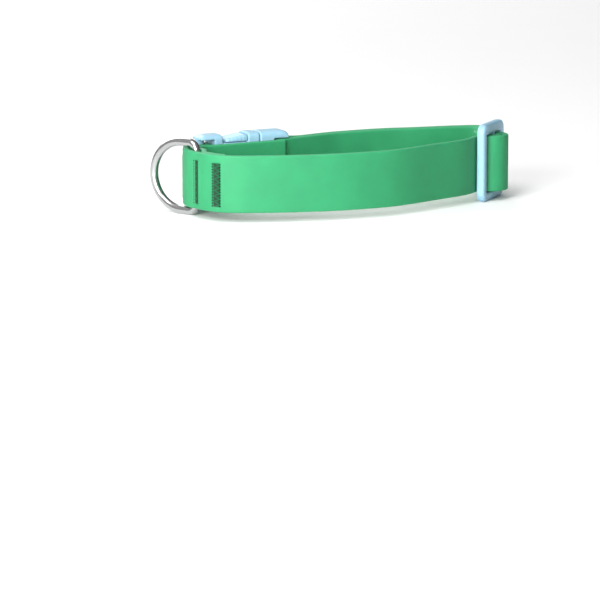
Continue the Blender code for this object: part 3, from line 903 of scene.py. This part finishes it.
@dataclass
class CoatedStrap:
    """The strap and its guard strip: one long band of coated strap, and a short one inside the buckle."""

    line: CollarLine
    width: float = 19.0 * MM
    thick: float = 2.0 * MM
    lift: float = 3.3 * MM
    edge_round: float = 0.55 * MM
    layer_gap: float = 0.3 * MM
    fit_gap: float = 0.3 * MM
    fold_run: float = 9.0 * MM
    ring_wire: float = 2.8 * MM
    pocket_reach: float = 7.0 * MM
    slider_thick: float = 3.0 * MM
    slider_bar: float = 3.2 * MM
    slider_round: float = 0.9 * MM
    buckle_thick: float = 8.0 * MM
    inner_layer_end: float = 33.0 * MM
    guard_start: float = 9.5 * MM
    guard_places: tuple[float, ...] = (0.7, 0.3, 0.0, -0.35, -0.67, -0.9)
    tail_end: float = 8.6 * MM
    tail_run: float = 10.0 * MM
    press_depth: float = 0.6 * MM
    press_reach: float = 2.9 * MM
    press_fade: float = 0.6 * MM
    lip: float = 0.3
    crease: float = 50.0
    longest_step: float = 0.8 * MM
    bend_step: float = 3.0
    shortest_step: float = 0.15 * MM
    least_advance: float = 0.06 * MM
    face_step: float = 0.5 * MM
    corner_points: int = 5
    face_corners: int = 4

    def layer_step(self) -> float:
        """Gives the distance between the middles of two layers that lie on each other."""
        return self.thick + self.layer_gap

    def fold_radius(self) -> float:
        """Gives the radius of the strap's middle where it folds round a bar."""
        return self.line.bar_diameter / 2 + self.fit_gap + self.thick / 2

    def slider_middle(self) -> float:
        """Gives how far outwards the middle of the slider's plate lies from the strap's line."""
        return self.thick / 2 + self.fit_gap + self.slider_thick / 2

    def pocket_spread(self) -> float:
        """Gives the distance of a pocket layer's middle from the ring bar's axis."""
        return self.ring_wire / 2 + self.fit_gap + self.thick / 2

    def near_buckle(self, length: float) -> float:
        """Gives 1 at the line's ends, where the strap folds round the buckle's bars, and 0 elsewhere."""
        return 2.0 - smooth(length / self.fold_run) - smooth((self.line.total() - length) / self.fold_run)

    def near_ring(self, length: float) -> float:
        """Gives 1 at the ring's bar and 0 away from its pocket."""
        return bump(length - self.line.marks["ring"], self.pocket_reach)

    def outer_out(self, length: float) -> float:
        """Gives how far outwards the outer layer's middle lies at a length of the line."""
        pocket = self.pocket_spread() - self.line.ring_bar_depth
        return self.fold_radius() * self.near_buckle(length) + pocket * self.near_ring(length)

    def inner_out(self, length: float) -> float:
        """Gives how far outwards the inner layer's middle lies.

        Args:
            length: The length along the line.

        Returns:
            The distance outwards, negative where it lies inside the line.
        """
        step = self.layer_step()
        pocket = step - self.pocket_spread() - self.line.ring_bar_depth
        out = -step - (self.fold_radius() - step) * self.near_buckle(length)
        out += pocket * self.near_ring(length)
        past_slider = length - self.line.marks["slider_out"]
        if past_slider >= 0.0:
            out -= step * (1.0 - smooth(past_slider / self.tail_run))
        return out

    def along(self, start: float, end: float, out: Callable[[float], float]) -> list[Vector]:
        """Gives plan points beside the line.

        Args:
            start: The length where the points start.
            end: The length where they end.
            out: How far outwards they lie at each length.

        Returns:
            Plan points, finely spaced.
        """
        count = max(2, int(abs(end - start) / self.line.step))
        lengths = [start + (end - start) * index / count for index in range(count + 1)]
        return [self.line.at(length, out(length)) for length in lengths]

    def bar_corner(self) -> Vector:
        """Gives the centre of the rounded inner edge of an outer slider bar, on the slider's far side."""
        inner_face = self.line.slider_length / 2 - self.slider_bar
        return Vector((inner_face + self.slider_round, self.thick / 2 + self.fit_gap + self.slider_round))

    def hump_side(self, radius: float, corner_radius: float) -> list[Vector]:
        """Gives local points from the top of the centre bar down past the far bar.

        Args:
            radius: The bend's radius over the centre bar.
            corner_radius: The bend's radius round the outer bar's edge.

        Returns:
            Points of an arc, a straight and an arc.
        """
        top = Vector((0.0, self.slider_middle()))
        corner = self.bar_corner()
        apart = corner - top
        slant = math.degrees(math.asin(min((radius + corner_radius) / apart.length, 1.0)))
        leave = 90.0 - slant + math.degrees(math.atan2(apart.y, apart.x))
        return arc(top, radius, 90.0, leave) + arc(corner, corner_radius, leave + 180.0, 270.0)

    def running_hump(self) -> list[Vector]:
        """Draws the strap that runs under, over and under the slider's bars.

        Returns:
            Points along and out of the slider.
        """
        reach = self.slider_round + self.fit_gap + self.thick / 2
        side = self.hump_side(self.fold_radius() + self.layer_step(), reach)
        return mirrored(side[::-1]) + side[1:]

    def sewn_loop(self) -> list[Vector]:
        """Draws the sewn end round the centre bar, from the inner layer to the tail.

        Returns:
            Points along and out of the slider.
        """
        top = Vector((0.0, self.slider_middle()))
        corner = self.bar_corner()
        reach = self.slider_round + self.fit_gap + self.thick / 2 + self.layer_step()
        inner_reach = reach + self.layer_step()
        lean = math.degrees(math.asin((inner_reach - self.fold_radius()) / (corner - top).length))
        inner = arc(corner, inner_reach, 270.0, 270.0 - lean)
        around = arc(top, self.fold_radius(), 270.0 - lean, 90.0)
        return inner + around[:-1] + self.hump_side(self.fold_radius(), reach)

    def strap_path(self) -> list[Vector]:
        """Draws the whole strap's middle, from the inner end at the ring to the tail.

        Returns:
            Plan points, finely spaced.
        """
        line = self.line
        slider = line.slider_place()
        buckle = line.buckle_place()
        fold = arc(Vector((0.0, 0.0)), self.fold_radius(), -90.0, 90.0)[1:-1]
        female = RigidPlace(buckle.at(line.bar_offset(), 0.0), buckle.heading)
        male = RigidPlace(buckle.at(-line.bar_offset(), 0.0), buckle.heading)
        path = self.along(self.inner_layer_end, 0.0, self.inner_out)
        path += female.put(mirrored(fold))
        path += self.along(0.0, line.marks["slider_in"], self.outer_out)
        path += slider.put(self.running_hump())
        path += self.along(line.marks["slider_out"], line.total(), self.outer_out)
        path += male.put(fold[::-1])
        path += self.along(line.total(), line.marks["slider_out"], self.inner_out)
        path += slider.put([point for point in self.sewn_loop() if point.x <= self.tail_end])
        return path + [slider.at(self.tail_end, -self.layer_step())]

    def guard_path(self) -> list[Vector]:
        """Draws the middle of the guard strip inside the buckle.

        Returns:
            Plan points, finely spaced at the tack.
        """
        buckle = self.line.buckle_place()
        face = self.buckle_thick / 2 + self.fit_gap + self.thick / 2
        inner = self.along(self.guard_start, 0.0, self.inner_out)
        on_strap: list[Vector] = []
        for point, direction in zip(inner, path_directions(inner)):
            moved = point + right_of(direction) * self.layer_step()
            if not on_strap or (moved - on_strap[-1]).dot(direction) > self.least_advance:
                on_strap.append(moved)
        return on_strap + [buckle.at(self.line.bar_offset() * share, -face) for share in self.guard_places]

    def thin(self, path: Sequence[Vector], tacks: Sequence[Vector]) -> list[Vector]:
        """Keeps the points of a path that its bends, its longest step and its tacks need.

        Args:
            path: Plan points, finely spaced.
            tacks: The middles of the tacks on it, round which every point stays.

        Returns:
            The points that stay.
        """
        kept = [path[0]]
        turned = 0.0
        for before, here, after in zip(path, path[1:], path[2:]):
            arriving = here - before
            leaving = after - here
            if min(arriving.length, leaving.length) < TINY:
                continue
            turned += math.degrees(abs(arriving.angle(leaving)))
            step = (here - kept[-1]).length
            tack_recess_shade = any((here - tack).length < self.press_reach for tack in tacks)
            at_bend = turned >= self.bend_step and step > self.shortest_step
            if tack_recess_shade or at_bend or step >= self.longest_step:
                kept.append(here)
                turned = 0.0
        return kept + [path[-1]]

    def layer_middle(self, layer: Layer, length: float) -> Vector:
        """Gives the middle of a layer.

        Args:
            layer: The layer.
            length: The length along the collar's line.

        Returns:
            The plan point.
        """
        if layer is Layer.OUTER:
            return self.line.at(length, self.outer_out(length))
        inwards = self.layer_step() if layer is Layer.GUARD else 0.0
        return self.line.at(length, self.inner_out(length) - inwards)

    def face_at(self, layer: Layer, length: float) -> tuple[Vector, Vector]:
        """Gives where a layer's shown face lies.

        Args:
            layer: The layer.
            length: The length along the collar's line.

        Returns:
            The plan point on the face and the face's direction.
        """
        path = self.guard_path() if layer is Layer.GUARD else self.strap_path()
        middle = self.layer_middle(layer, length)
        nearest = min(range(1, len(path) - 1), key=lambda index: (path[index] - middle).length)
        facing = right_of((path[nearest + 1] - path[nearest - 1]).normalized())
        return path[nearest] + facing * (self.thick / 2), facing

    def profile(self) -> Object:
        """Makes the strap's cross section as a closed line, out along x and up along y.

        Returns:
            An object of bare edges, for the sweep alone.
        """
        half = self.thick / 2 - self.edge_round
        tall = self.width / 2 - self.edge_round
        rows = round(2 * tall / self.face_step)
        outline: list[Vector] = []
        for side, rise, start in ((1, 1, 0.0), (-1, 1, 90.0), (-1, -1, 180.0), (1, -1, 270.0)):
            for index in range(self.corner_points):
                turn = heading_vector(start + 90.0 * index / (self.corner_points - 1)) * self.edge_round
                outline.append(Vector((side * half + turn.x, rise * tall + turn.y, 0.0)))
            if side * rise < 0:
                x = outline[-1].x
                for row in range(1, rows):
                    outline.append(Vector((x, rise * tall - rise * 2 * tall * row / rows, 0.0)))
        return add_object("strap_section", line_mesh("strap_section", outline, ring_edges(len(outline))))

    def sweep_tree(self) -> GeometryTree:
        """Builds the tree that sweeps the section along a path and presses it in at the tacks.

        Returns:
            The tree.
        """
        lengths = ("Press Low", "Press High", "Press Fade", "Half Thickness", "Press Depth")
        kinds = {"Section": Socket.PIECE, **dict.fromkeys(lengths, Socket.LENGTH)}
        sweep = GeometryTree("strap_sweep", kinds)
        tree = sweep.tree
        place = sweep.add("GeometryNodeInputPosition").outputs[0]
        path = sweep.curve(sweep.store(sweep.take("Geometry"), "middle", place, data_type="FLOAT_VECTOR"))
        upright = sweep.add("GeometryNodeSetCurveNormal", {"Curve": path}, mode="Z_UP").outputs["Curve"]
        section = sweep.add("GeometryNodeObjectInfo", {"Object": sweep.take("Section")}).outputs["Geometry"]
        band = sweep.add("GeometryNodeCurveToMesh", {
            "Curve": upright, "Profile Curve": sweep.curve(section), "Fill Caps": True,
        }).outputs["Mesh"]
        outwards = named_attribute(tree, "outwards", "FLOAT_VECTOR")
        from_middle = vector_maths(tree, "SUBTRACT", place, named_attribute(tree, "middle", "FLOAT_VECTOR"))
        depth = vector_maths(tree, "DOT_PRODUCT", from_middle, outwards)
        on_face = maths(tree, "MAXIMUM", maths(tree, "DIVIDE", depth, sweep.take("Half Thickness")), 0.0)
        height = sweep.add("ShaderNodeSeparateXYZ", {0: place}).outputs["Z"]
        ends = []
        for above, below in ((height, sweep.take("Press Low")), (sweep.take("Press High"), height)):
            inside = maths(tree, "DIVIDE", maths(tree, "SUBTRACT", above, below), sweep.take("Press Fade"))
            ends.append(ramp(tree, inside, -1.0, 0.0))
        pressed = product(tree, *ends, on_face, named_attribute(tree, "press"))
        # The press level both dents the strap and masks the painted shade in the strap's material
        shaded = sweep.store(band, "pressed", pressed)
        # Only the two end caps have more corners than a band face
        corners = sweep.add("GeometryNodeInputMeshFaceNeighbors").outputs["Vertex Count"]
        is_cap = maths(tree, "GREATER_THAN", corners, self.face_corners + 0.5)
        marked = sweep.store(shaded, "cut", is_cap, domain="FACE")
        offset = scaled(tree, outwards, product(tree, pressed, sweep.take("Press Depth"), -1.0))
        moved = sweep.add("GeometryNodeSetPosition", {"Geometry": marked, "Offset": offset})
        sweep.end(moved.outputs["Geometry"])
        return sweep

    def build_band(
        self, name: str, path: Sequence[Vector], seams: Sequence["Seam"], values: dict[str, Any],
        tree: GeometryTree,
    ) -> Object:
        """Sweeps one band along its path.

        Args:
            name: The piece's name.
            path: Plan points of the band's middle.
            seams: The tacks that press it in.
            values: The sweep's inputs.
            tree: The sweep.

        Returns:
            The band as a plain mesh object.
        """
        tacks = [(self.layer_middle(seam.layer, seam.length), seam.span / 2) for seam in seams]
        points = self.thin(path, [centre for centre, _ in tacks])
        lengths = path_lengths(points)
        press = [0.0] * len(points)
        for centre, half_span in tacks:
            nearest = min(range(len(points)), key=lambda index: (points[index] - centre).length)
            for index, length in enumerate(lengths):
                outside = abs(length - lengths[nearest]) - half_span
                level = 1.0 - smooth(outside / self.press_fade + 0.5)
                level -= self.lip * bump(outside - self.press_fade, self.press_fade)
                press[index] = level if abs(level) > abs(press[index]) else press[index]
        outwards = [Vector((*right_of(direction), 0.0)) for direction in path_directions(points)]
        middle_height = self.lift + self.width / 2
        seed = line_mesh(
            name + "_path", [Vector((point.x, point.y, middle_height)) for point in points],
            [(index, index + 1) for index in range(len(points) - 1)], press=press, outwards=outwards,
        )
        return tree.grow(name, seed, values)

    def build(self, seams: "TackSeams", finish: Material) -> None:
        """Builds the strap and the guard strip and puts them in place of their nodes.

        Args:
            seams: The tacks that press them in.
            finish: The strap's material.
        """
        tree = self.sweep_tree()
        section = self.profile()
        values = {
            "Section": section, "Press Low": seams.low, "Press High": seams.high,
            "Press Fade": self.press_fade, "Half Thickness": self.thick / 2, "Press Depth": self.press_depth,
            "Finish": finish,
        }
        for name, path, layers in (
            ("strap", self.strap_path(), (Layer.OUTER, Layer.INNER)),
            ("guard_strip", self.guard_path(), (Layer.GUARD,)),
        ):
            here = [seam for seam in seams.seams if seam.layer in layers]
            band = self.build_band("coated_" + name, path, here, values, tree)
            finish_piece(band, COLLAR_BODY, [name], self.crease)
        bpy.data.objects.remove(section)


@dataclass(frozen=True)
class Seam:
    """One tack's stitches on one face of the sewn layers."""

    layer: Layer
    length: float
    span: float


@dataclass
class TackSeams:
    """The dense zigzag tacks that hold the strap's layers together."""

    strap: CoatedStrap
    low: float = 5.4 * MM
    high: float = 19.3 * MM
    pitch: float = 0.9 * MM
    thread: float = 0.34 * MM
    span: float = 2.3 * MM
    narrow_span: float = 2.0 * MM
    rise: float = 0.1 * MM
    hole: float = 0.56 * MM
    hole_offset: float = 0.3 * MM
    hole_rise: float = 0.04 * MM
    hole_flatness: float = 0.35
    hole_roundness: int = 2
    bed_rise: float = 0.02 * MM
    bow_steps: int = 6
    thread_sides: int = 6
    crease: float = 60.0
    buckle_tack: float = 7.4 * MM
    guard_tack: float = 4.5 * MM
    guard_span: float = 1.3 * MM
    seams: list[Seam] = field(default_factory=list)

    def __post_init__(self) -> None:
        """Lists the tacks on both faces of the sewn layers."""
        marks = self.strap.line.marks
        through = ((marks["second_tack"], self.narrow_span), (marks["third_tack"], self.span))
        self.seams = [
            Seam(Layer.OUTER, self.buckle_tack, self.span),
            *(Seam(Layer.OUTER, length, span) for length, span in through),
            Seam(Layer.GUARD, self.guard_tack, self.guard_span),
            *(Seam(Layer.INNER, length, span) for length, span in through),
        ]

    def stitch(self, work: GeometryTree) -> NodeSocket:
        """Makes one stitch: a bowed thread of length 1 along x that rises along y.

        Args:
            work: The stitches' tree.

        Returns:
            The stitch's mesh.
        """
        rise = work.take("Rise")
        crown = vector_of(work.tree, y=product(work.tree, rise, 2.0))
        ends = [vector_of(work.tree, x=x, y=product(work.tree, rise, -1.0)) for x in (-0.5, 0.5)]
        bow = work.add("GeometryNodeCurveQuadraticBezier", {
            "Resolution": self.bow_steps, "Start": ends[0], "Middle": crown, "End": ends[1],
        }).outputs["Curve"]
        thread = work.circle(self.thread_sides, work.take("Thread"))
        return work.add("GeometryNodeCurveToMesh", {"Curve": bow, "Profile Curve": thread}).outputs["Mesh"]

    def stitch_tree(self) -> GeometryTree:
        """Builds the tree that lays zigzag stitches along upright lines, with dark dots of painted shade at
        their needle holes.

        Returns:
            The tree.
        """
        lengths = ("Pitch", "Thread", "Rise", "Hole", "Hole Offset", "Hole Rise")
        kinds = {**dict.fromkeys(lengths, Socket.LENGTH), "Hole Shade": Socket.FINISH}
        work = GeometryTree("tack_stitches", kinds)
        tree = work.tree
        inputs = {"Curve": work.curve(work.take("Geometry")), "Length": work.take("Pitch")}
        stations = work.add("GeometryNodeResampleCurve", inputs, mode="LENGTH").outputs["Curve"]
        outwards = named_attribute(tree, "outwards", "FLOAT_VECTOR")
        span = named_attribute(tree, "span")
        facing = work.add(
            "FunctionNodeAlignRotationToVector", {"Vector": outwards}, axis="Y", pivot_axis="Z"
        ).outputs["Rotation"]
        parity = maths(tree, "MODULO", work.add("GeometryNodeInputIndex").outputs[0], 2.0)
        sign = maths(tree, "SUBTRACT", 1.0, product(tree, parity, 2.0))
        slant = product(tree, maths(tree, "DIVIDE", work.take("Pitch"), span), sign)
        lean = work.add("FunctionNodeAxisAngleToRotation", {"Axis": (0.0, 1.0, 0.0), "Angle": slant})
        inputs = {"Rotation": facing, "Rotate By": lean.outputs[0]}
        turned = work.add("FunctionNodeRotateRotation", inputs, rotation_space="LOCAL").outputs[0]
        parts = [work.repeat(stations, self.stitch(work), turned, vector_of(tree, x=span, y=1.0, z=1.0))]
        # Painted shade: flattened dark dots stand in for the shade inside each needle hole
        inputs = {"Radius": product(tree, work.take("Hole"), 0.5), "Subdivisions": self.hole_roundness}
        dot = work.add("GeometryNodeMeshIcoSphere", inputs).outputs["Mesh"]
        dot = work.store(dot, "is_hole", 1.0, domain="FACE")
        across = vector_maths(tree, "CROSS_PRODUCT", outwards, (0.0, 0.0, 1.0))
        reach = maths(tree, "ADD", product(tree, span, 0.5), work.take("Hole Offset"))
        for side in (-1.0, 1.0):
            aside = scaled(tree, across, product(tree, reach, side))
            offset = vector_maths(tree, "ADD", aside, scaled(tree, outwards, work.take("Hole Rise")))
            inputs = {"Geometry": stations, "Offset": offset}
            moved = work.add("GeometryNodeSetPosition", inputs).outputs["Geometry"]
            parts.append(work.repeat(moved, dot, facing, (1.0, self.hole_flatness, 1.0)))
        joined = work.add("GeometryNodeJoinGeometry")
        for part in parts:
            tree.links.new(part, joined.inputs[0])
        is_hole = maths(tree, "GREATER_THAN", named_attribute(tree, "is_hole"), 0.5)
        work.end(joined.outputs[0], {"Hole Shade": is_hole})
        return work

    def build(self, thread: Material, hole: Material) -> None:
        """Sews all tacks as one piece.

        Args:
            thread: The thread's material.
            hole: The material of the painted shade in the needle holes.
        """
        points: list[Vector] = []
        outwards: list[Vector] = []
        spans: list[float] = []
        for seam in self.seams:
            face, facing = self.strap.face_at(seam.layer, seam.length)
            here = face - facing * (self.strap.press_depth - self.bed_rise)
            for height in (self.low, self.high):
                points.append(Vector((here.x, here.y, height)))
                outwards.append(Vector((*facing, 0.0)))
                spans.append(seam.span)
        edges = [(index, index + 1) for index in range(0, len(points), 2)]
        seed = line_mesh("tack_lines", points, edges, outwards=outwards, span=spans)
        piece = self.stitch_tree().grow("tack_stitches", seed, {
            "Pitch": self.pitch, "Thread": self.thread, "Rise": self.rise, "Hole": self.hole,
            "Hole Offset": self.hole_offset, "Hole Rise": self.strap.press_depth + self.hole_rise,
            "Hole Shade": hole, "Finish": thread,
        })
        finish_piece(piece, COLLAR_BODY, [], self.crease)


@dataclass
class LeashRing:
    """D-ring of round wire whose straight bar sits in the strap's pocket."""

    wire: float = 2.8 * MM
    height: float = 25.6 * MM
    reach: float = 18.1 * MM
    shoulder: float = 6.2 * MM
    corner: float = 2.8 * MM
    heading: float = 143.0
    bow_points: int = 60
    bar_rows: int = 24
    sides: int = 28
    crease: float = 60.0

    def outline(self) -> list[Vector]:
        """Draws the wire's closed middle line.

        Returns:
            Points, each its reach from the bar's axis and its height from the middle.
        """
        tall = (self.height - self.wire) / 2
        corner = self.corner
        low, high = corner - tall, tall - corner
        points = [
            Vector((0.0, low + (high - low) * row / self.bar_rows)) for row in range(self.bar_rows + 1)
        ]
        points += arc(Vector((corner, high)), corner, 180.0, 90.0)[1:]
        for index in range(self.bow_points + 1):
            angle = math.pi / 2 - math.pi * index / self.bow_points
            out = self.shoulder + (self.reach - self.shoulder) * math.cos(angle)
            points.append(Vector((out, tall * math.sin(angle))))
        return points + arc(Vector((corner, low)), corner, 270.0, 180.0)[:-1]

    def wire_tree(self) -> GeometryTree:
        """Builds the tree that draws round wire along a closed line.

        Returns:
            The tree.
        """
        draw = GeometryTree("round_wire", {"Wire": Socket.LENGTH, "Sides": Socket.COUNT})
        curves = (draw.curve(draw.take("Geometry")), draw.circle(draw.take("Sides"), draw.take("Wire")))
        line, section = (
            draw.store(curve, name, draw.add("GeometryNodeSplineParameter").outputs["Length"])
            for curve, name in zip(curves, ("along", "around"))
        )
        tube = draw.add("GeometryNodeCurveToMesh", {"Curve": line, "Profile Curve": section})
        draw.end(tube.outputs["Mesh"])
        return draw

    def build(self, finish: Material) -> None:
        """Builds the ring on the frame's joint and puts it in place of its node.

        Args:
            finish: The steel.
        """
        away = heading_vector(self.heading)
        points = [HINGE + Vector((*(away * point.x), point.y)) for point in self.outline()]
        seed = line_mesh("ring_line", points, ring_edges(len(points)))
        values = {"Wire": self.wire, "Sides": self.sides, "Finish": finish}
        ring = self.wire_tree().grow("wire_d_ring", seed, values)
        finish_piece(ring, RING_BODY, ["d_ring"], self.crease)


@dataclass
class MouldedPart:
    """A moulded piece made from a frame node: edges rounded over and a relief worked into its faces."""

    node: str
    place: RigidPlace
    voxel: float = 0.24 * MM
    easing: float = 0.5
    easing_rounds: int = 5
    weld: float = 1e-6
    crease: float = 80.0

    def relief(self, spot: Vector, facing: Vector) -> float:
        """Gives how far a point of the surface is raised: not at all on a plain part."""
        return 0.0

    def build(self, name: str, finish: Material) -> None:
        """Moulds the part and puts it in place of its node.

        Args:
            name: The piece's name.
            finish: The plastic.
        """
        placing = self.place.matrix()
        shape = bmesh.new()
        shape.from_mesh(frame["nodes"][self.node].data)
        bmesh.ops.remove_doubles(shape, verts=shape.verts, dist=self.weld)
        bmesh.ops.transform(shape, matrix=placing.inverted(), verts=shape.verts)
        mesh = bpy.data.meshes.new(name + "_core")
        shape.to_mesh(mesh)
        shape.free()
        holder = add_object(name + "_core", mesh)
        remesh = holder.modifiers.new("even_skin", "REMESH")
        remesh.mode = "VOXEL"
        remesh.voxel_size = self.voxel
        ease = holder.modifiers.new("rounded_edges", "SMOOTH")
        ease.factor = self.easing
        ease.iterations = self.easing_rounds
        piece = settle(name, holder)
        points = piece.data.vertices
        raised = [point.co + point.normal * self.relief(point.co, point.normal) for point in points]
        for point, spot in zip(points, raised):
            point.co = placing @ spot
        piece.data.materials.clear()
        piece.data.materials.append(finish)
        finish_piece(piece, COLLAR_BODY, [self.node], self.crease)


@dataclass
class LengthSlider(MouldedPart):
    """Slider with two outer bars and a round centre bar."""


@dataclass
class BuckleShell(MouldedPart):
    """One half of the side release buckle."""

    half: BuckleHalf = BuckleHalf.SOCKET
    height: float = 25.1 * MM
    panel: tuple[float, float] = (-4.2 * MM, 9.8 * MM)
    panel_margin: float = 4.6 * MM
    panel_depth: float = 0.3 * MM
    panel_edge: float = 0.7 * MM
    rib_start: float = -0.6 * MM
    rib_pitch: float = 1.4 * MM
    rib_count: int = 5
    rib_height: float = 0.09 * MM
    rib_inset: float = 0.78
    broad_face: float = -0.5

    def relief(self, spot: Vector, facing: Vector) -> float:
        """Gives the sunk panel on the socket's outer face and the grip ribs on the plug's tabs.

        Args:
            spot: The point, along the strap, inwards and up.
            facing: The surface's direction there.

        Returns:
            The height in metres, negative where the surface is sunk.
        """
        if self.half is BuckleHalf.SOCKET:
            if facing.y > self.broad_face:
                return 0.0
            inside = min(
                spot.x - self.panel[0], self.panel[1] - spot.x,
                spot.z - self.panel_margin, self.height - self.panel_margin - spot.z,
            )
            return -self.panel_depth * smooth(inside / self.panel_edge)
        beside = abs(spot.z - self.height / 2) / (self.height / 2)
        along = (spot.x - self.rib_start) / self.rib_pitch
        if beside < self.rib_inset or not 0.0 < along < self.rib_count:
            return 0.0
        return self.rib_height * math.sin(math.pi * (along % 1.0)) ** 2


@dataclass(frozen=True)
class Softbox:
    """One square soft light that points at the collar.

    Its azimuth is the direction in plan that it hangs in, 0 along +X and 90 along +Y, in degrees.
    """

    name: str
    azimuth: float
    elevation: float
    away: float
    size: float
    power: float

    def hang(self) -> None:
        """Puts the light into the scene, out of the camera's sight."""
        rise = math.radians(self.elevation)
        place = Vector((*(heading_vector(self.azimuth) * math.cos(rise)), math.sin(rise))) * self.away
        light = bpy.data.lights.new(self.name, "AREA")
        light.shape = "SQUARE"
        light.size = self.size
        light.energy = self.power
        lamp = add_object(self.name, light)
        lamp.location = place
        lamp.rotation_euler = (-place).to_track_quat("-Z", "Y").to_euler()
        lamp.visible_camera = False


@dataclass
class Studio:
    """The pale floor, the soft light and the camera at the photograph's viewing angle."""

    image_size: float = 600.0
    sensor: float = 36.0
    elevation: float = 8.6
    distance: float = 1.364
    pixel: float = 0.3276 * MM
    anchor: tuple[float, float, float] = (0.0, -36.0 * MM, 22.3 * MM)
    anchor_pixel: tuple[float, float] = (331.0, 156.0)
    floor_half: float = 12.0
    key_direction: tuple[float, float, float] = (-0.62, -0.55, 0.56)
    key_range: tuple[float, float] = (-0.7, 0.9)
    world_dark: float = 0.08
    world_bright: float = 0.56
    softboxes: tuple[Softbox, ...] = (
        Softbox("key_softbox", azimuth=-113.0, elevation=17.0, away=0.5, size=0.25, power=3.7),
        Softbox("top_softbox", azimuth=-120.0, elevation=60.0, away=1.3, size=0.8, power=9.0),
        Softbox("back_softbox", azimuth=112.0, elevation=28.0, away=1.6, size=0.9, power=11.0),
    )

    def build_floor(self, finish: Material) -> None:
        """Lays the floor under the collar.

        Args:
            finish: The floor's material.
        """
        half = self.floor_half
        corners = [(-half, -half, 0.0), (half, -half, 0.0), (half, half, 0.0), (-half, half, 0.0)]
        mesh = bpy.data.meshes.new("floor")
        mesh.from_pydata(corners, [], [(0, 1, 2, 3)])
        mesh.materials.append(finish)
        floor = add_object("floor", mesh)

    def build_world(self) -> None:
        """Fills the room with soft light, brightest at the front left and above."""
        world = bpy.data.worlds.new("soft_room")
        bpy.context.scene.world = world
        world.use_nodes = True
        tree = world.node_tree
        direction = add_node(tree, "ShaderNodeTexCoord").outputs["Generated"]
        key = tuple(Vector(self.key_direction).normalized())
        towards = vector_maths(tree, "DOT_PRODUCT", direction, key)
        strength = ramp(tree, towards, *self.key_range, self.world_dark, self.world_bright)
        set_inputs(tree, tree.nodes["Background"], {"Strength": strength, "Color": WHITE})

    def build_camera(self) -> None:
        """Sets the camera so that the anchor lands on its pixel of the square image."""
        focal = self.distance / self.pixel
        rise = math.radians(self.elevation)
        back = Vector((0.0, -math.cos(rise), math.sin(rise)))
        lens = bpy.data.cameras.new("photo_camera")
        lens.sensor_width = self.sensor
        lens.sensor_fit = "HORIZONTAL"
        lens.lens = self.sensor * focal / self.image_size
        camera = add_object("photo_camera", lens)
        camera.location = Vector(self.anchor) + back * self.distance
        half = self.image_size / 2
        yaw = math.atan((self.anchor_pixel[0] - half) / focal)
        pitch = rise + math.atan((half - self.anchor_pixel[1]) / focal)
        camera.rotation_euler = (math.pi / 2 - pitch, 0.0, yaw)
        bpy.context.scene.camera = camera

    def build(self, floor: Material) -> None:
        """Sets up the whole studio.

        Args:
            floor: The floor's material.
        """
        self.build_floor(floor)
        self.build_world()
        for softbox in self.softboxes:
            softbox.hang()
        self.build_camera()
        bpy.context.scene.view_settings.view_transform = "Standard"
        LOG.info("studio: floor, soft light and camera")


def main() -> None:
    """Builds the collar piece by piece and sets it in the studio."""
    logging.basicConfig(level=logging.INFO, format="%(message)s")
    plastic = PLASTIC_FINISH.material()
    line = CollarLine()
    strap = CoatedStrap(line)
    seams = TackSeams(strap)
    strap.build(seams, STRAP_FINISH.material())
    seams.build(THREAD_FINISH.material(), NEEDLE_HOLE_SHADE_FINISH.material())
    LeashRing().build(STEEL_FINISH.material())
    LengthSlider("slider", line.slider_place()).build("moulded_slider", plastic)
    for half in BuckleHalf:
        BuckleShell(half.value, line.buckle_place(), half=half).build("moulded_" + half.value, plastic)
    Studio().build(FLOOR_FINISH.material())


if __name__ == "__main__":
    main()
